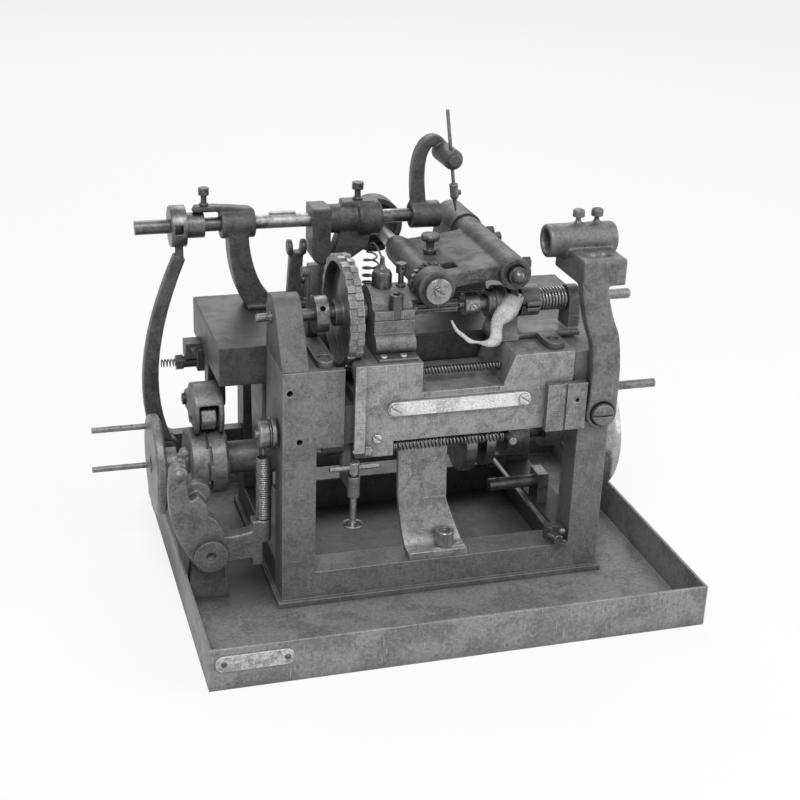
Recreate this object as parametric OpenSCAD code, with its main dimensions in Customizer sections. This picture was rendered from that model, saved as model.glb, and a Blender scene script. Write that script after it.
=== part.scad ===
// Pinion cutting machine on its drip tray, millimetres.
// Origin: middle of the tray's underside. X runs along the work spindle to the right,
// Y from the front to the back, Z up.

/* [Tray] */
// Width of the tray
tray_w = 330; // [324:1:360]
// Depth of the tray, front to back
tray_d = 270; // [262:1:300]
// Height of the tray's rim
tray_h = 29; // [18:1:34]
// Thickness of the tray's sheet
sheet = 2; // [1.5:0.1:3]

/* [Frame] */
// Left side of the frame, from the middle
frame_left = -102; // [-104:0.5:-101]
// Right side of the frame, from the middle
frame_right = 122; // [121:0.5:125]
// Front face of the frame, from the middle
frame_front = -52; // [-54:0.5:-51]
// Width of a leg
leg_w = 22; // [18:0.5:24]
// Thickness of the frame walls, front to back
wall_t = 22; // [18:0.5:24]
// Top of the bottom rail
rail_top = 25; // [20:0.5:26]
// Height of the plinth lip
plinth_h = 4; // [3:0.5:6]
// How far the plinth lip stands out
plinth_lip = 3; // [1:0.5:5]
// Underside of the top beam
beam_low = 115; // [113:0.5:116]
// Top of the middle of the beam, which carries the carriage
way_top = 141; // [139:0.5:142]
// Top of the raised ends of the frame
frame_top = 168; // [166:0.5:169]
// Radius of the small plugged holes in the left leg
plug_r = 2; // [1.5:0.1:2.5]

/* [Bed] */
// Left end of the bed plate
bed_left = -133; // [-136:0.5:-130]
// Right end of the bed plate
bed_right = 141; // [138:0.5:144]
// Back of the bed plate
bed_back = 102; // [100:0.5:105]

/* [Work line] */
// Distance of the work axis behind the frame's front
work_back = 35; // [34:0.2:36]
// Height of the work axis above the frame's top
work_rise = 25.3; // [25:0.1:26]
// Radius of the work spindle
spindle_r = 4; // [3.4:0.1:4.4]
// Running clearance of shafts in their bearings
fit = 0.05; // [0.02:0.01:0.08]
// Gap between moving flat faces
gap = 0.3; // [0.2:0.05:0.5]
// Radius of the index wheel
index_r = 38; // [35:0.5:38.5]
// Number of notches in the index wheel
index_n = 24; // [12:4:32]
// Depth of a notch
notch_d = 1.3; // [0.8:0.1:3]
// Travel of the carriage to the left
travel = 5; // [2:0.5:5]
// Radius of the thin cutting arbor
arbor_r = 2.5; // [1.5:0.1:2.8]
// Radius of the pinion blank on the arbor
blank_r = 4.6; // [3.6:0.1:5]
// Number of leaves on the pinion blank
blank_n = 8; // [6:1:14]
// Radius of the spindle collar
collar_r = 12; // [9:0.5:13]
// Radius of the headstock journal
journal_r = 6; // [5:0.1:7]
// Radius of the headstock cap
cap_r = 17; // [14:0.5:18]
// Radius of the tail spindle
tail_r = 5; // [4:0.1:5.5]
// Radius of the tail spindle's bright sleeve
sleeve_r = 7.4; // [6.5:0.1:8.5]
// Radius of the tailstock bearings
tail_ring_r = 11.5; // [9:0.1:11.8]
// Travel of the tail spindle
tail_travel = 4.5; // [2:0.5:4.5]

/* [Carriage] */
// Left end of the apron
apron_left = -55; // [-56:0.5:-53]
// Right end of the apron
apron_right = 92; // [90:0.5:92]
// How far the apron stands out from the frame
apron_out = 3; // [2:0.2:4]
// Thickness of the apron
apron_t = 6.5; // [6:0.1:7]
// Bottom of the apron
apron_low = 117; // [116.5:0.5:119]
// Top of the middle of the carriage
saddle_top = 149; // [147:0.5:150]
// Top of the carriage's two blocks
block_top = 170; // [169.6:0.1:170.5]
// Thickness of the tie strap
strap_t = 2.6; // [1.5:0.1:3]

/* [Cam shaft] */
// Distance of the cam shaft behind the middle
cam_y = 22; // [20:0.5:24]
// Height of the cam shaft
cam_z = 79; // [77:0.5:80]
// Radius of the cam shaft
cam_shaft_r = 6; // [5:0.1:7]
// Radius of the crank disc
disc_r = 34; // [31:0.5:35]
// Thickness of the crank disc
disc_t = 7; // [6:0.5:9]
// Radius at which the two long pins stand
pin_ring = 26; // [22:0.5:27]
// Length of the two long pins
pin_len = 37; // [25:1:40]
// Radius of the barrel cam
barrel_r = 23; // [18:0.5:23.5]
// Number of teeth in the barrel cam's zig-zag groove
zigzag_n = 12; // [8:1:16]
// Radius of the belt wheel
wheel_r = 46; // [40:0.5:47]

/* [Cutter head] */
// Sideways place of the head's pivot
head_x = 53; // [52:0.5:54]
// Height of the head's pivot
head_z = 219.5; // [219:0.5:221]
// Sideways place of the cutter spindle
cutter_x = 1.5; // [0.5:0.5:2.5]
// Height of the cutter spindle above the work axis
cutter_rise = 17.7; // [17.4:0.1:18.5]
// Radius of the cutter spindle
cutter_shaft_r = 5; // [4:0.1:5.5]
// Radius of the cutter spindle's bearings
cutter_boss_r = 12.3; // [10:0.1:12.5]
// Number of cutter teeth
cutter_n = 20; // [8:1:36]
// Radius of the drive pulley at the back
pulley_r = 20; // [16:0.5:22]
// Radius of the head's pivot shaft
pivot_r = 6; // [5:0.1:7]
// Radius of the long boss on the head's pivot
pivot_boss_r = 10.5; // [9:0.1:11]
// Thickness of the cradle plate
cradle_t = 8; // [6:0.5:9]

/* [Overhead shaft] */
// Distance of the overhead shaft behind the middle
over_y = 75; // [74:0.5:77]
// Height of the overhead shaft
over_z = 228; // [227.5:0.5:230]
// Radius of the overhead shaft
over_r = 4.75; // [4:0.05:5]
// Left end of the overhead shaft
over_left = -175; // [-180:1:-165]
// Radius of the overhead bearings
over_boss_r = 10; // [8:0.1:10.5]
// Travel of the overhead shaft to the left
over_travel = 8; // [4:0.5:8]
// Height of the shift lever's pivot
lever_z = 66; // [64:0.5:70]
// Thickness of the shift lever
lever_t = 8; // [5:0.5:9]
// Height of the gooseneck's clamp
goose_z = 272; // [268:1:276]
// Radius of the pointer rod
rod_r = 1.25; // [1:0.05:1.6]
// Length of the pointer rod above its clamp
rod_up = 34; // [28:1:38]
// Height of the pointer's tip
tip_z = 234.4; // [234:0.2:238]

/* [Swinging arm] */
// Sideways place of the arm's pivot
arm_x = 112; // [111.5:0.5:113]
// Height of the arm's pivot
arm_z = 126; // [125:0.5:128]
// Thickness of the arm
arm_t = 9.5; // [8:0.1:10]
// Bore radius of the arm's tube
tube_bore = 7; // [6:0.1:7.5]
// Outer radius of the arm's tube
tube_r = 11; // [10:0.1:11.5]

/* [Small parts] */
// Height of the bell crank's pivot
crank_z = 40; // [38:0.5:42]
// Distance of the bell crank's pivot from the tray's left wall
crank_wall = 16; // [14:0.5:18]
// Thickness of the bell crank
crank_t = 10; // [8:0.5:11]
// Wire of the springs
wire = 1.2; // [0.9:0.05:1.3]
// Diameter of the two long springs, over the wire
spring_d = 7; // [6:0.1:7.4]
// Radius of slotted screw heads
screw_r = 4; // [3:0.1:4.4]
// Thickness of the foot bracket's plate
foot_t = 5; // [3.5:0.1:6]
// Radius of the foot bracket's cheese-head screw
foot_screw_r = 6.2; // [5:0.1:7]
// Radius of the side rod
side_r = 3; // [2:0.1:3.5]
// Height of the side rod
side_z = 133; // [131:0.5:135]

/* [Hidden] */
$fn = 48;
cast = "#5b5b59";
dark = "#3d3d3b";
steel = "#8c8c8a";
bright = "#c3c3c0";
wheel_w = 9.5;
wheel_x = -60;
work_y = frame_front + work_back;
work_z = frame_top + work_rise;
cutter_z = work_z + cutter_rise;
cutter_disc_r = cutter_rise - blank_r - gap;
bed_front = -1;
carriage_back = bed_front - 2;
apron_front = frame_front - apron_out;
apron_back = apron_front + apron_t;
left_block_x = apron_left + 5;
left_block_w = 38;
right_block_x = 44;
ear_x = frame_left;
ear_t = 17;
back_y = bed_back - wall_t;
slot_left = wheel_x - travel - 2;
slot_right = apron_right + 1.5;
headstock_x = -40;
headstock_w = 26.5;
tail_x = 46;
tail_w = 16;
clamp_x = 64;
clamp_w = 13;
post_x = 98;
post_w = 8;
tail_base_t = 4;
barrel_x = -152;
barrel_w = 26;
disc_x = -176;
hanger_t = 12;
hanger_left_x = -104;
hanger_right_x = 104;
lever_x = -158;
lever_top_z = over_z - over_r - 4;
over_collar_x = -152;
low_spring_z = apron_low - 1.5 - spring_d / 2;
low_spring_y = apron_front + spring_d / 2;
low_block_x = left_block_x + 20;
stud_x = 50;
stud_r = 2.5;
upper_spring_y = apron_front + 15;
upper_spring_z = saddle_top + 9;
roller_gap = 0.4;
crank_x = sheet + crank_wall - tray_w / 2;
side_root = side_r + 1;
pin_root = 2.6;
cup_r = 6.5;
coil_x = headstock_x + 5.8;
coil_y = work_y + 12;
coil_r = 4.8;
coil_wire = 1;
coil_seat = work_z + 9.5;
shoe_y = apron_front + 18;
cup_seat = work_z + sqrt(cap_r * cap_r - cup_r * cup_r);
cup_top = cup_seat + 20;
cup_x = headstock_x + 10;
follower_r = 10;
follower_z = cam_z + barrel_r + roller_gap + follower_r;
follower_pivot_y = 50;
follower_pivot_z = 113;
follower_x = barrel_x + 8;
follower_w = 12;
handle_x = -58;
handle_y = frame_front - 11;
goose_x = 38;
goose_y = over_y - 20;

// Straight solids named by the axis that they run along
module block(x0, x1, y0, y1, z0, z1) {
    translate([x0, y0, z0])
        cube([x1 - x0, y1 - y0, z1 - z0]);
}

module xrod(x0, x1, r, y, z) {
    translate([x0, y, z])
        rotate([0, 90, 0])
            cylinder(h = x1 - x0, r = r);
}

module yrod(y0, y1, r, x, z) {
    translate([x, y1, z])
        rotate([90, 0, 0])
            cylinder(h = y1 - y0, r = r);
}

module zrod(z0, z1, r, x, y) {
    translate([x, y, z0])
        cylinder(h = z1 - z0, r = r);
}

// A flat outline drawn in X and Z, made thick along Y
module plate_y(y0, y1) {
    translate([0, y1, 0])
        rotate([90, 0, 0])
            linear_extrude(y1 - y0)
                children();
}

// A flat outline drawn in Y and Z, made thick along X
module plate_x(x0, x1) {
    translate([x0, 0, 0])
        rotate([90, 0, 90])
            linear_extrude(x1 - x0)
                children();
}

// A turned shape round an axis along X, drawn as radius and distance
module turned_x(x, y, z) {
    translate([x, y, z])
        rotate([0, 90, 0])
            rotate_extrude()
                children();
}

// A slotted round screw head facing the front
module front_screw(x, y, z, r, h) {
    difference() {
        yrod(y - h, y, r, x, z);
        translate([x, y - h, z])
            rotate([0, 35, 0])
                cube([2.4 * r, 1.6, r / 4], center = true);
    }
}

// An upright thumb screw: stem, waist and round head with a cross hole
module thumb_screw(x, y, z, h, r) {
    difference() {
        union() {
            zrod(z, z + h, r * 0.55, x, y);
            zrod(z + h * 0.6, z + h, r, x, y);
            zrod(z, z + h * 0.12, r * 0.85, x, y);
        }
        yrod(y - 2 * r, y + 2 * r, r * 0.28, x, z + h * 0.8);
    }
}

// A point of a curve pulled towards one corner point
function bend(a, b, c, t) = (1 - t) * (1 - t) * a + 2 * t * (1 - t) * b + t * t * c;

// Outline of a curved bar whose half width goes from w0 to w1
function bar_side(a, b, c, w0, w1, s, n) = [for (i = [0:n])
    let (t = i / n, p = bend(a, b, c, t), d = (1 - t) * (b - a) + t * (c - b), u = d / norm(d))
    p + s * (w0 + (w1 - w0) * t) * [-u[1], u[0]]];

function bar_outline(a, b, c, w0, w1, n) = let (
    one = bar_side(a, b, c, w0, w1, 1, n),
    two = bar_side(a, b, c, w0, w1, -1, n))
    concat(one, [for (i = [n:-1:0]) two[i]]);

// A helical spring along Z: straight ends of one wire diameter, half a curl to open out,
// full curls between
rings = 8;
sides = 6;
function spring_radius(t, n, r, end_r) = t < 0.5 ? end_r + (r - end_r) * t * 2
    : t > n - 0.5 ? end_r + (r - end_r) * (n - t) * 2 : r;

function spring_path(len, n, r, end_r, w) = concat(
    [[end_r, 0, 0, 0]],
    [for (i = [0:n * rings]) let (t = i / rings, q = spring_radius(t, n, r, end_r), a = 360 * t)
        [q * cos(a), q * sin(a), w + (len - 2 * w) * t / n, a]],
    [[end_r * cos(360 * n), end_r * sin(360 * n), len, 360 * n]]);

function xyz(p) = [p[0], p[1], p[2]];
function unit(v) = v / norm(v);
function ring_at(path, i, w) = let (
    last = len(path) - 1,
    ahead = xyz(path[min(i + 1, last)]),
    behind = xyz(path[max(i - 1, 0)]),
    t = (i <= 1 || i >= last - 1) ? [0, 0, 1] : unit(ahead - behind),
    side = [cos(path[i][3]), sin(path[i][3]), 0],
    v = unit(cross(t, side)),
    u = cross(v, t))
    [for (k = [0:sides - 1]) let (a = 360 * k / sides)
        xyz(path[i]) + w / 2 * (cos(a) * u + sin(a) * v)];

function least_gap(path, w) = min([for (i = [0:len(path) - 1], j = [i + rings - 3:1:len(path) - 1])
    if (j < len(path) && norm(xyz(path[i]) - xyz(path[j])) < 4 * w)
        norm(xyz(path[i]) - xyz(path[j])) - w, 99]);

module spring(name, len, n, r, end_r, w) {
    path = spring_path(len, n, r, end_r, w);
    points = [for (i = [0:len(path) - 1]) each ring_at(path, i, w)];
    last = len(path) - 1;
    walls = [for (i = [0:last - 1], k = [0:sides - 1])
        let (a = i * sides + k, b = i * sides + (k + 1) % sides, c = a + sides, d = b + sides)
        each [[a, b, d], [a, d, c]]];
    ends = [for (k = [1:sides - 2])
        each [[0, k + 1, k], [last * sides, last * sides + k, last * sides + k + 1]]];
    echo(spring = name, least_gap = least_gap(path, w));
    polyhedron(points, concat([for (f = walls) [f[0], f[2], f[1]]], [for (f = ends) [f[0], f[2], f[1]]]));
}

module spring_x(name, x0, x1, y, z, n, r, end_r, w) {
    translate([x0, y, z])
        rotate([0, 90, 0])
            spring(name, x1 - x0, n, r, end_r, w);
}

module tray() {
    color(dark)
        difference() {
            block(-tray_w / 2, tray_w / 2, -tray_d / 2, tray_d / 2, 0, tray_h);
            block(-tray_w / 2 + sheet, tray_w / 2 - sheet, -tray_d / 2 + sheet, tray_d / 2 - sheet,
                sheet, tray_h + 1);
        }
}

// The front casting: legs, rail and top beam with a window, a way for the carriage and a
// pocket for the index wheel
module front_frame() {
    pocket_r = index_r + 1.5;
    color(cast)
        difference() {
            union() {
                block(frame_left, frame_right, frame_front, frame_front + wall_t, sheet, frame_top);
                block(frame_left, frame_right, frame_front, bed_front, beam_low, frame_top);
                block(frame_left - plinth_lip, frame_right + plinth_lip, frame_front - plinth_lip,
                    frame_front + wall_t, sheet, sheet + plinth_h);
            }
            block(frame_left + leg_w, frame_right - leg_w, frame_front - 5, frame_front + wall_t + 1,
                rail_top, beam_low);
            block(slot_left + 5, slot_right, frame_front - 5, bed_front + 1, way_top, frame_top + 1);
            block(slot_left + 5, slot_right, frame_front - 5, apron_back + gap, beam_low - 1,
                frame_top + 1);
            xrod(slot_left, slot_left + 10, pocket_r, work_y, work_z);
            for (h = [[frame_left + 4.5, 154.5], [frame_left + 11, 120.5]])
                yrod(frame_front - 1, frame_front + 8, plug_r, h[0], h[1]);
            xrod(frame_right - 18, frame_right + 1, side_root + fit, frame_front + 18, side_z);
        }
}

module back_frame() {
    color(cast)
        difference() {
            union() {
                block(frame_left, frame_right, back_y, bed_back, sheet, way_top);
                block(frame_left - plinth_lip, frame_right + plinth_lip, back_y, bed_back + plinth_lip,
                    sheet, sheet + plinth_h);
            }
            block(frame_left + leg_w, frame_right - leg_w, back_y - 1, bed_back + 5, rail_top,
                beam_low);
        }
}

module side_rails() {
    front = frame_front + wall_t;
    color(cast)
        for (x = [frame_left, frame_right - leg_w]) {
            block(x, x + leg_w, front, back_y, sheet, rail_top);
            lip = x == frame_left ? x - plinth_lip : x + leg_w;
            block(lip, lip + plinth_lip, front, back_y, sheet, sheet + plinth_h);
        }
}

module bed_plate() {
    color(dark)
        difference() {
            block(bed_left, bed_right, bed_front, bed_back, way_top, frame_top);
            xrod(slot_left, wheel_x + wheel_w + 2, index_r + 1.5, work_y, work_z);
        }
}

// Upright lug that holds the left end of the work spindle, and a slim post behind the collar
module spindle_ear() {
    top_r = 15;
    post_top = work_z + 27;
    color(cast) {
        block(slot_left - 7, slot_left - 0.8, 0, 6, frame_top, post_top);
        xrod(slot_left - 11, slot_left - 6, 3.5, 3, post_top - 5);
        difference() {
            plate_x(ear_x, ear_x + ear_t) {
                translate([work_y, work_z])
                    circle(r = top_r);
                polygon([[frame_front + 1, frame_top], [bed_front, frame_top],
                    [work_y + top_r * cos(10), work_z + top_r * sin(10)],
                    [work_y - top_r * cos(30), work_z + top_r * sin(30)]]);
            }
            xrod(ear_x - 1, ear_x + ear_t + 1, spindle_r + fit, work_y, work_z);
        }
    }
}

// Lug on the frame that keeps the right end of the apron against the beam
module keeper_lug() {
    x0 = 73;
    x1 = arm_x - 11.5;
    front = frame_front - 8.5;
    pin_z = 137;
    color(steel)
        difference() {
            union() {
                block(x0, x1, front, apron_front - gap, beam_low + 1, saddle_top);
                block(slot_right + 0.5, x1, front, frame_front, beam_low + 1, saddle_top);
            }
            block(x0 + 12, x0 + 13.6, front - 1, front + 1.5, beam_low, saddle_top + 1);
            yrod(front - 1, front + 3, 1.6, x0 + 21, pin_z);
        }
}

// Two bearings that hang the cam shaft under the bed
module shaft_hanger(x, side) {
    hub_r = cam_shaft_r + 5;
    reach = 21.6;
    difference() {
        union() {
            plate_x(x, x + hanger_t) {
                translate([cam_y, cam_z])
                    circle(r = hub_r + 2);
                polygon([[cam_y - hub_r - 2, cam_z], [cam_y + hub_r + 2, cam_z],
                    [cam_y + hub_r + 9, way_top], [cam_y - hub_r - 9, way_top]]);
            }
            if (side < 0)
                xrod(x - reach, x + 1, hub_r, cam_y, cam_z);
            else
                xrod(x + hanger_t - 1, x + hanger_t + reach - 6, hub_r, cam_y, cam_z);
        }
        xrod(x - reach - 1, x + hanger_t + reach + 1, cam_shaft_r + fit, cam_y, cam_z);
    }
}

module shaft_hangers() {
    color(cast) {
        shaft_hanger(hanger_left_x, -1);
        shaft_hanger(hanger_right_x, 1);
    }
}

// Bent plate from the beam to the bottom rail, wider at its foot
foot_mid = frame_front + wall_t - 1;
foot_toe = frame_front + 1;
foot_screw_x = 12.5;
foot_pins = [-12, 6];
foot_pin_z = 90;
foot_screw_y = foot_toe + 8;
module foot_bracket() {
    half = foot_t / 2;
    low = rail_top + half;
    color(steel)
        difference() {
            intersection() {
                plate_x(-30, 40) {
                    translate([foot_mid - half, 62])
                        square([foot_t, beam_low - 62]);
                    polygon(bar_outline([foot_mid, 62.5], [foot_mid, low], [foot_toe + 7, low], half,
                        half, 10));
                    translate([foot_toe, rail_top])
                        square([7.5, foot_t]);
                }
                plate_y(frame_front - 10, foot_mid + foot_t)
                    polygon([[-20, beam_low], [14, beam_low], [15.5, 60], [26.6, rail_top + 3],
                        [26.6, rail_top], [-14, rail_top], [-18, 60]]);
            }
            zrod(rail_top - 1, rail_top + foot_t + 1, 3 + fit, foot_screw_x, foot_screw_y);
            zrod(rail_top + foot_t, rail_top + foot_t + 15, foot_screw_r + gap, foot_screw_x,
                foot_screw_y);
            for (x = foot_pins)
                yrod(foot_mid - foot_t, foot_mid + foot_t, 2, x, foot_pin_z);
        }
}

// Screws that belong to the frame, as separate solids
module frame_screws() {
    seat = rail_top + foot_t;
    color(bright) {
        difference() {
            union() {
                zrod(seat, seat + 11, foot_screw_r, foot_screw_x, foot_screw_y);
                zrod(rail_top, seat + 1, 3, foot_screw_x, foot_screw_y);
            }
            zrod(seat + 9, seat + 12, foot_screw_r - 2.2, foot_screw_x, foot_screw_y);
        }
        for (x = foot_pins)
            yrod(foot_mid - foot_t / 2, foot_mid + foot_t / 2, 1.95, x, foot_pin_z);
        difference() {
            yrod(frame_front - arm_t - 3.5, frame_front, 5, arm_x, arm_z);
            translate([arm_x, frame_front - arm_t - 3.5, arm_z])
                cube([20, 2.4, 1.6], center = true);
        }
    }
}

// A clamp dog: a slab with a round front end and a sunk screw
module dog(x, y0, y1, z, w) {
    t = 4.5;
    difference() {
        union() {
            zrod(z, z + t, w / 2, x, y0 + w / 2);
            block(x - w / 2, x + w / 2, y0 + w / 2, y1, z, z + t);
        }
        translate([x, y0 + w * 0.75, z])
            cylinder(h = t + 1, r = screw_r);
    }
    difference() {
        zrod(z, z + t - 1.5, screw_r - 0.1, x, y0 + w * 0.75);
        translate([x, y0 + w * 0.75, z + t - 1.5])
            cube([2 * screw_r, 1, 1.6], center = true);
    }
}

module left_dog() {
    color(steel)
        dog(-73, frame_front + 4, bed_front - 3, frame_top, 12);
}

module right_dog() {
    color(steel)
        dog(81, apron_front + 4, work_y - 12 - gap, block_top, 13);
}

// Bearing arm of the overhead shaft: a stem that drops and bends to the right, and a finger
// that reaches left over the shaft
finger_x = -128.5;
finger_z = over_z + 13.5;
module overhead_arm() {
    x0 = -118;
    x1 = -94.5;
    stem_x = (x0 + x1) / 2;
    foot_x = stem_x + 15.5;
    color(cast)
        difference() {
            union() {
                xrod(x0, x1, over_boss_r, over_y, over_z);
                plate_y(over_y - 9, over_y + 9)
                    polygon(bar_outline([stem_x, over_z - 5], [stem_x, over_z - 38],
                        [foot_x, frame_top + 2], 6.6, 9, 12));
                block(foot_x - 10, foot_x + 11, over_y - 10, over_y + 10, frame_top, frame_top + 3);
                plate_y(over_y - 4.5, over_y + 4.5)
                    polygon([[finger_x - 8.5, over_z + 9.3], [finger_x - 6, finger_z],
                        [finger_x + 6, finger_z], [x0 + 6, over_z + 12.6], [x1 - 2, over_z + 11],
                        [x1 - 2, over_z + 7], [x0 - 0.5, over_z + 7], [x0 - 2, over_z + 9.3]]);
            }
            xrod(x0 - 1, x1 + 1, over_r + fit, over_y, over_z);
            block(foot_x - 20, foot_x + 20, over_y - 10, over_y + 10, frame_top - 9, frame_top);
        }
}

// Middle bearing of the overhead shaft, with its hanging slab and leg
module overhead_bracket() {
    x0 = -44;
    x1 = cutter_x - cutter_shaft_r - 2;
    slab_low = 199;
    color(cast)
        difference() {
            union() {
                xrod(x0, x1, over_boss_r, over_y, over_z);
                xrod(-23, x1 - 2, over_boss_r + 2.5, over_y, over_z);
                plate_y(over_y - 11, over_y + 11) {
                    translate([-56, slab_low + 6])
                        square([13, over_z + over_boss_r - slab_low - 6]);
                    translate([-49.5, slab_low + 6.5])
                        circle(r = 6.5);
                }
                block(-34, -12, over_y - 6, over_y + 6, over_z + over_boss_r - 2,
                    over_z + over_boss_r + 3);
                plate_y(over_y - 7, over_y + 7)
                    polygon([[-34, over_z - 4], [-12, over_z - 4], [-16, 208], [-40, 192], [-43, frame_top],
                        [-62, frame_top], [-60, 186], [-40, 206]]);
                block(-72, -34, over_y - 13, over_y + 13, frame_top, frame_top + 5);
                plate_y(over_y - 4, over_y + 4)
                    polygon([[-72, frame_top + 4], [-62, frame_top + 4], [-60.5, 209], [-69.5, 209]]);
                xrod(-71.5, -58.5, 5.5, over_y, 209);
            }
            block(-68, -62, over_y - 6, over_y + 6, 206, 216);
            xrod(-57, x1 + 1, over_r + fit, over_y, over_z);
            block(-24, -23, over_y - 20, over_y + 20, over_z - 20, over_z - over_r - 1);
        }
}

module overhead_screws() {
    color(bright) {
        thumb_screw(finger_x, over_y, finger_z, 12, 3.6);
        thumb_screw(-22, over_y, over_z + over_boss_r + 3, 12, 4);
    }
}

// Roller stud on the left leg that holds the top of the vertical spring
stud_roller_z = 121.5;
stud_roller_r = 9.5;
hook_len = 6;
stud_roller_y = frame_front + 16;
module spring_studs() {
    x = frame_left;
    color(steel) {
        xrod(x - 14.5, x, 3, stud_roller_y, stud_roller_z);
        turned_x(x - 13, stud_roller_y, stud_roller_z)
            polygon([[3 + fit, 0], [8.5, 0], [stud_roller_r, 1], [stud_roller_r, 6.5], [8.2, 7], [8.2, 8],
                [10.2, 8.5], [10.2, 11], [3 + fit, 11]]);
        zrod(stud_roller_z - stud_roller_r - hook_len, stud_roller_z - stud_roller_r + 1, 1,
            crank_spring_x, stud_roller_y);
        yrod(apron_front - 7, frame_front + 12, stud_r, stud_x, low_spring_z);
        block(stud_x - 4, stud_x + 4, frame_front + 6, frame_front + 14, low_spring_z, beam_low);
    }
}

// Post on the tray that carries the bell crank's pivot
crank_y = frame_front + 12;
crank_pin_r = 5;
module crank_stand() {
    back = crank_y + crank_t + gap;
    color(cast) {
        difference() {
            plate_y(back, back + 10) {
                polygon([[crank_x - 14, sheet], [crank_x + 14, sheet], [crank_x + 9, crank_z],
                    [crank_x - 9, crank_z]]);
                translate([crank_x, crank_z])
                    circle(r = 9);
            }
            yrod(back - 1, back + 11, crank_pin_r + fit, crank_x, crank_z);
        }
    }
    color(steel)
        difference() {
            union() {
                yrod(crank_y - 1.5, back + 10, crank_pin_r, crank_x, crank_z);
                yrod(crank_y - 3.5, crank_y - gap, crank_pin_r + 6, crank_x, crank_z);
            }
            translate([crank_x, crank_y - 4, crank_z])
                sphere(r = 3.5);
        }
}

// Arm on the back frame that carries the shift lever's pivot
module lever_bracket() {
    y0 = over_y + lever_t / 2 + gap;
    pin_r = 4;
    color(cast)
        difference() {
            plate_y(y0 + 1, y0 + 11) {
                translate([lever_x, lever_z])
                    circle(r = 9);
                translate([lever_x, lever_z - 7])
                    square([frame_left - lever_x, 14]);
            }
            yrod(y0, y0 + 12, pin_r + fit, lever_x, lever_z);
        }
    color(steel) {
        yrod(over_y - lever_t / 2 - 3, y0 + 11, pin_r, lever_x, lever_z);
        yrod(over_y - lever_t / 2 - 3, over_y - lever_t / 2 - gap, pin_r + 3, lever_x, lever_z);
    }
}

// Adjusting screw and block under the left end of the bed, with the small spring that
// presses on the shift lever
module adjust_stop() {
    z = lever_z + 64;
    x = bed_left;
    color(dark) {
        difference() {
            union() {
                block(x - 3, x + 12, over_y - 7, over_y + 7, z - 5, way_top);
                block(x - 11, x, over_y - 6, over_y + 6, z + 4, z + 15.5);
                xrod(x - 15, x - 2, 4, over_y, z);
            }
            yrod(over_y - 8, over_y + 8, 2.5, x - 5.5, z + 10);
        }
        translate([x - 17, over_y, z])
            rotate([0, 90, 0])
                cylinder(h = 5, r = 5.5, $fn = 6);
        spring_x("adjuster", x - 27.5, x - 17, over_y, z, 4, 2.2, 0, 0.8);
    }
}

// Fixed rods: one through the right end of the frame, one across under the cams, one
// along the right side with a wing nut
module frame_rods() {
    cross_z = 41;
    long_x = 90;
    color(steel) {
        xrod(frame_right - 17, frame_right, side_root, frame_front + 18, side_z);
        xrod(frame_right - 1, frame_right + 40, side_r, frame_front + 18, side_z);
        difference() {
            xrod(65, frame_right - leg_w + 4, 4.5, 15, cross_z);
            zrod(cross_z - 6, cross_z + 6, 1.4, 72, 15);
        }
        difference() {
            block(frame_right - leg_w, frame_right - leg_w + 8, 7, 23, rail_top, cross_z + 8);
            xrod(frame_right - leg_w - 1, frame_right - leg_w + 9, 4.5 + fit, 15, cross_z);
        }
        yrod(frame_front - 2, back_y, 2, long_x, rail_top + 7);
        for (y = [frame_front + 6, back_y - 8])
            difference() {
                block(long_x - 3.5, frame_right - leg_w, y, y + 6, rail_top, rail_top + 10.5);
                yrod(y - 1, y + 7, 2 + fit, long_x, rail_top + 7);
            }
        translate([long_x, frame_front - 1, rail_top + 7])
            rotate([0, 30, 0]) {
                difference() {
                    union() {
                        rotate([90, 0, 0])
                            cylinder(h = 6, r = 3.5);
                        translate([-7.5, -4.5, -1])
                            cube([15, 3, 2]);
                        translate([0, -3, 6])
                            sphere(r = 2.6, $fn = 24);
                    }
                    translate([0, 1, 0])
                        rotate([90, 0, 0])
                            cylinder(h = 3, r = 2 + fit);
                }
            }
    }
}

// Small bracket under the beam that holds the T-handled screw
module clamp_bracket() {
    z0 = 88;
    r = 4;
    color(steel)
        difference() {
            union() {
                block(handle_x - 17, handle_x + 4, frame_front + 6, frame_front + 18, 109, beam_low);
                zrod(z0, 110, r, handle_x, frame_front + 10);
                block(handle_x - 3.5, handle_x + 3.5, handle_y, frame_front + 10, z0, z0 + 9);
                zrod(z0 - 4, z0 + 11, r, handle_x, handle_y);
            }
            zrod(z0 - 5, z0 + 12, 2.2 + fit, handle_x, handle_y);
        }
}

// Pedestal behind the cutter head that holds its pivot shaft
module head_pedestal() {
    y0 = over_y - 15;
    y1 = over_y + 21;
    boss_r = pivot_r + 6;
    color(cast)
        difference() {
            union() {
                yrod(y0, y1, boss_r, head_x, head_z);
                plate_y(y0 + 3, y1 - 3)
                    polygon([[head_x - boss_r, head_z], [head_x + boss_r, head_z],
                        [head_x + boss_r + 8, frame_top], [head_x - boss_r - 8, frame_top]]);
                block(head_x - 30, head_x + 30, y0, y1, frame_top, frame_top + 6);
            }
            yrod(y0 - 1, y1 + 1, pivot_r + fit, head_x, head_z);
        }
}

module pivot_shaft() {
    front = frame_front + 8;
    color(bright)
        difference() {
            union() {
                yrod(front, over_y + 22, pivot_r, head_x, head_z);
                translate([head_x, front, head_z])
                    sphere(r = pivot_r - 0.8);
            }
            translate([head_x, front - 8, head_z])
                rotate([0, 35, 0])
                    cube([20, 5, 1.8], center = true);
        }
}

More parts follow.
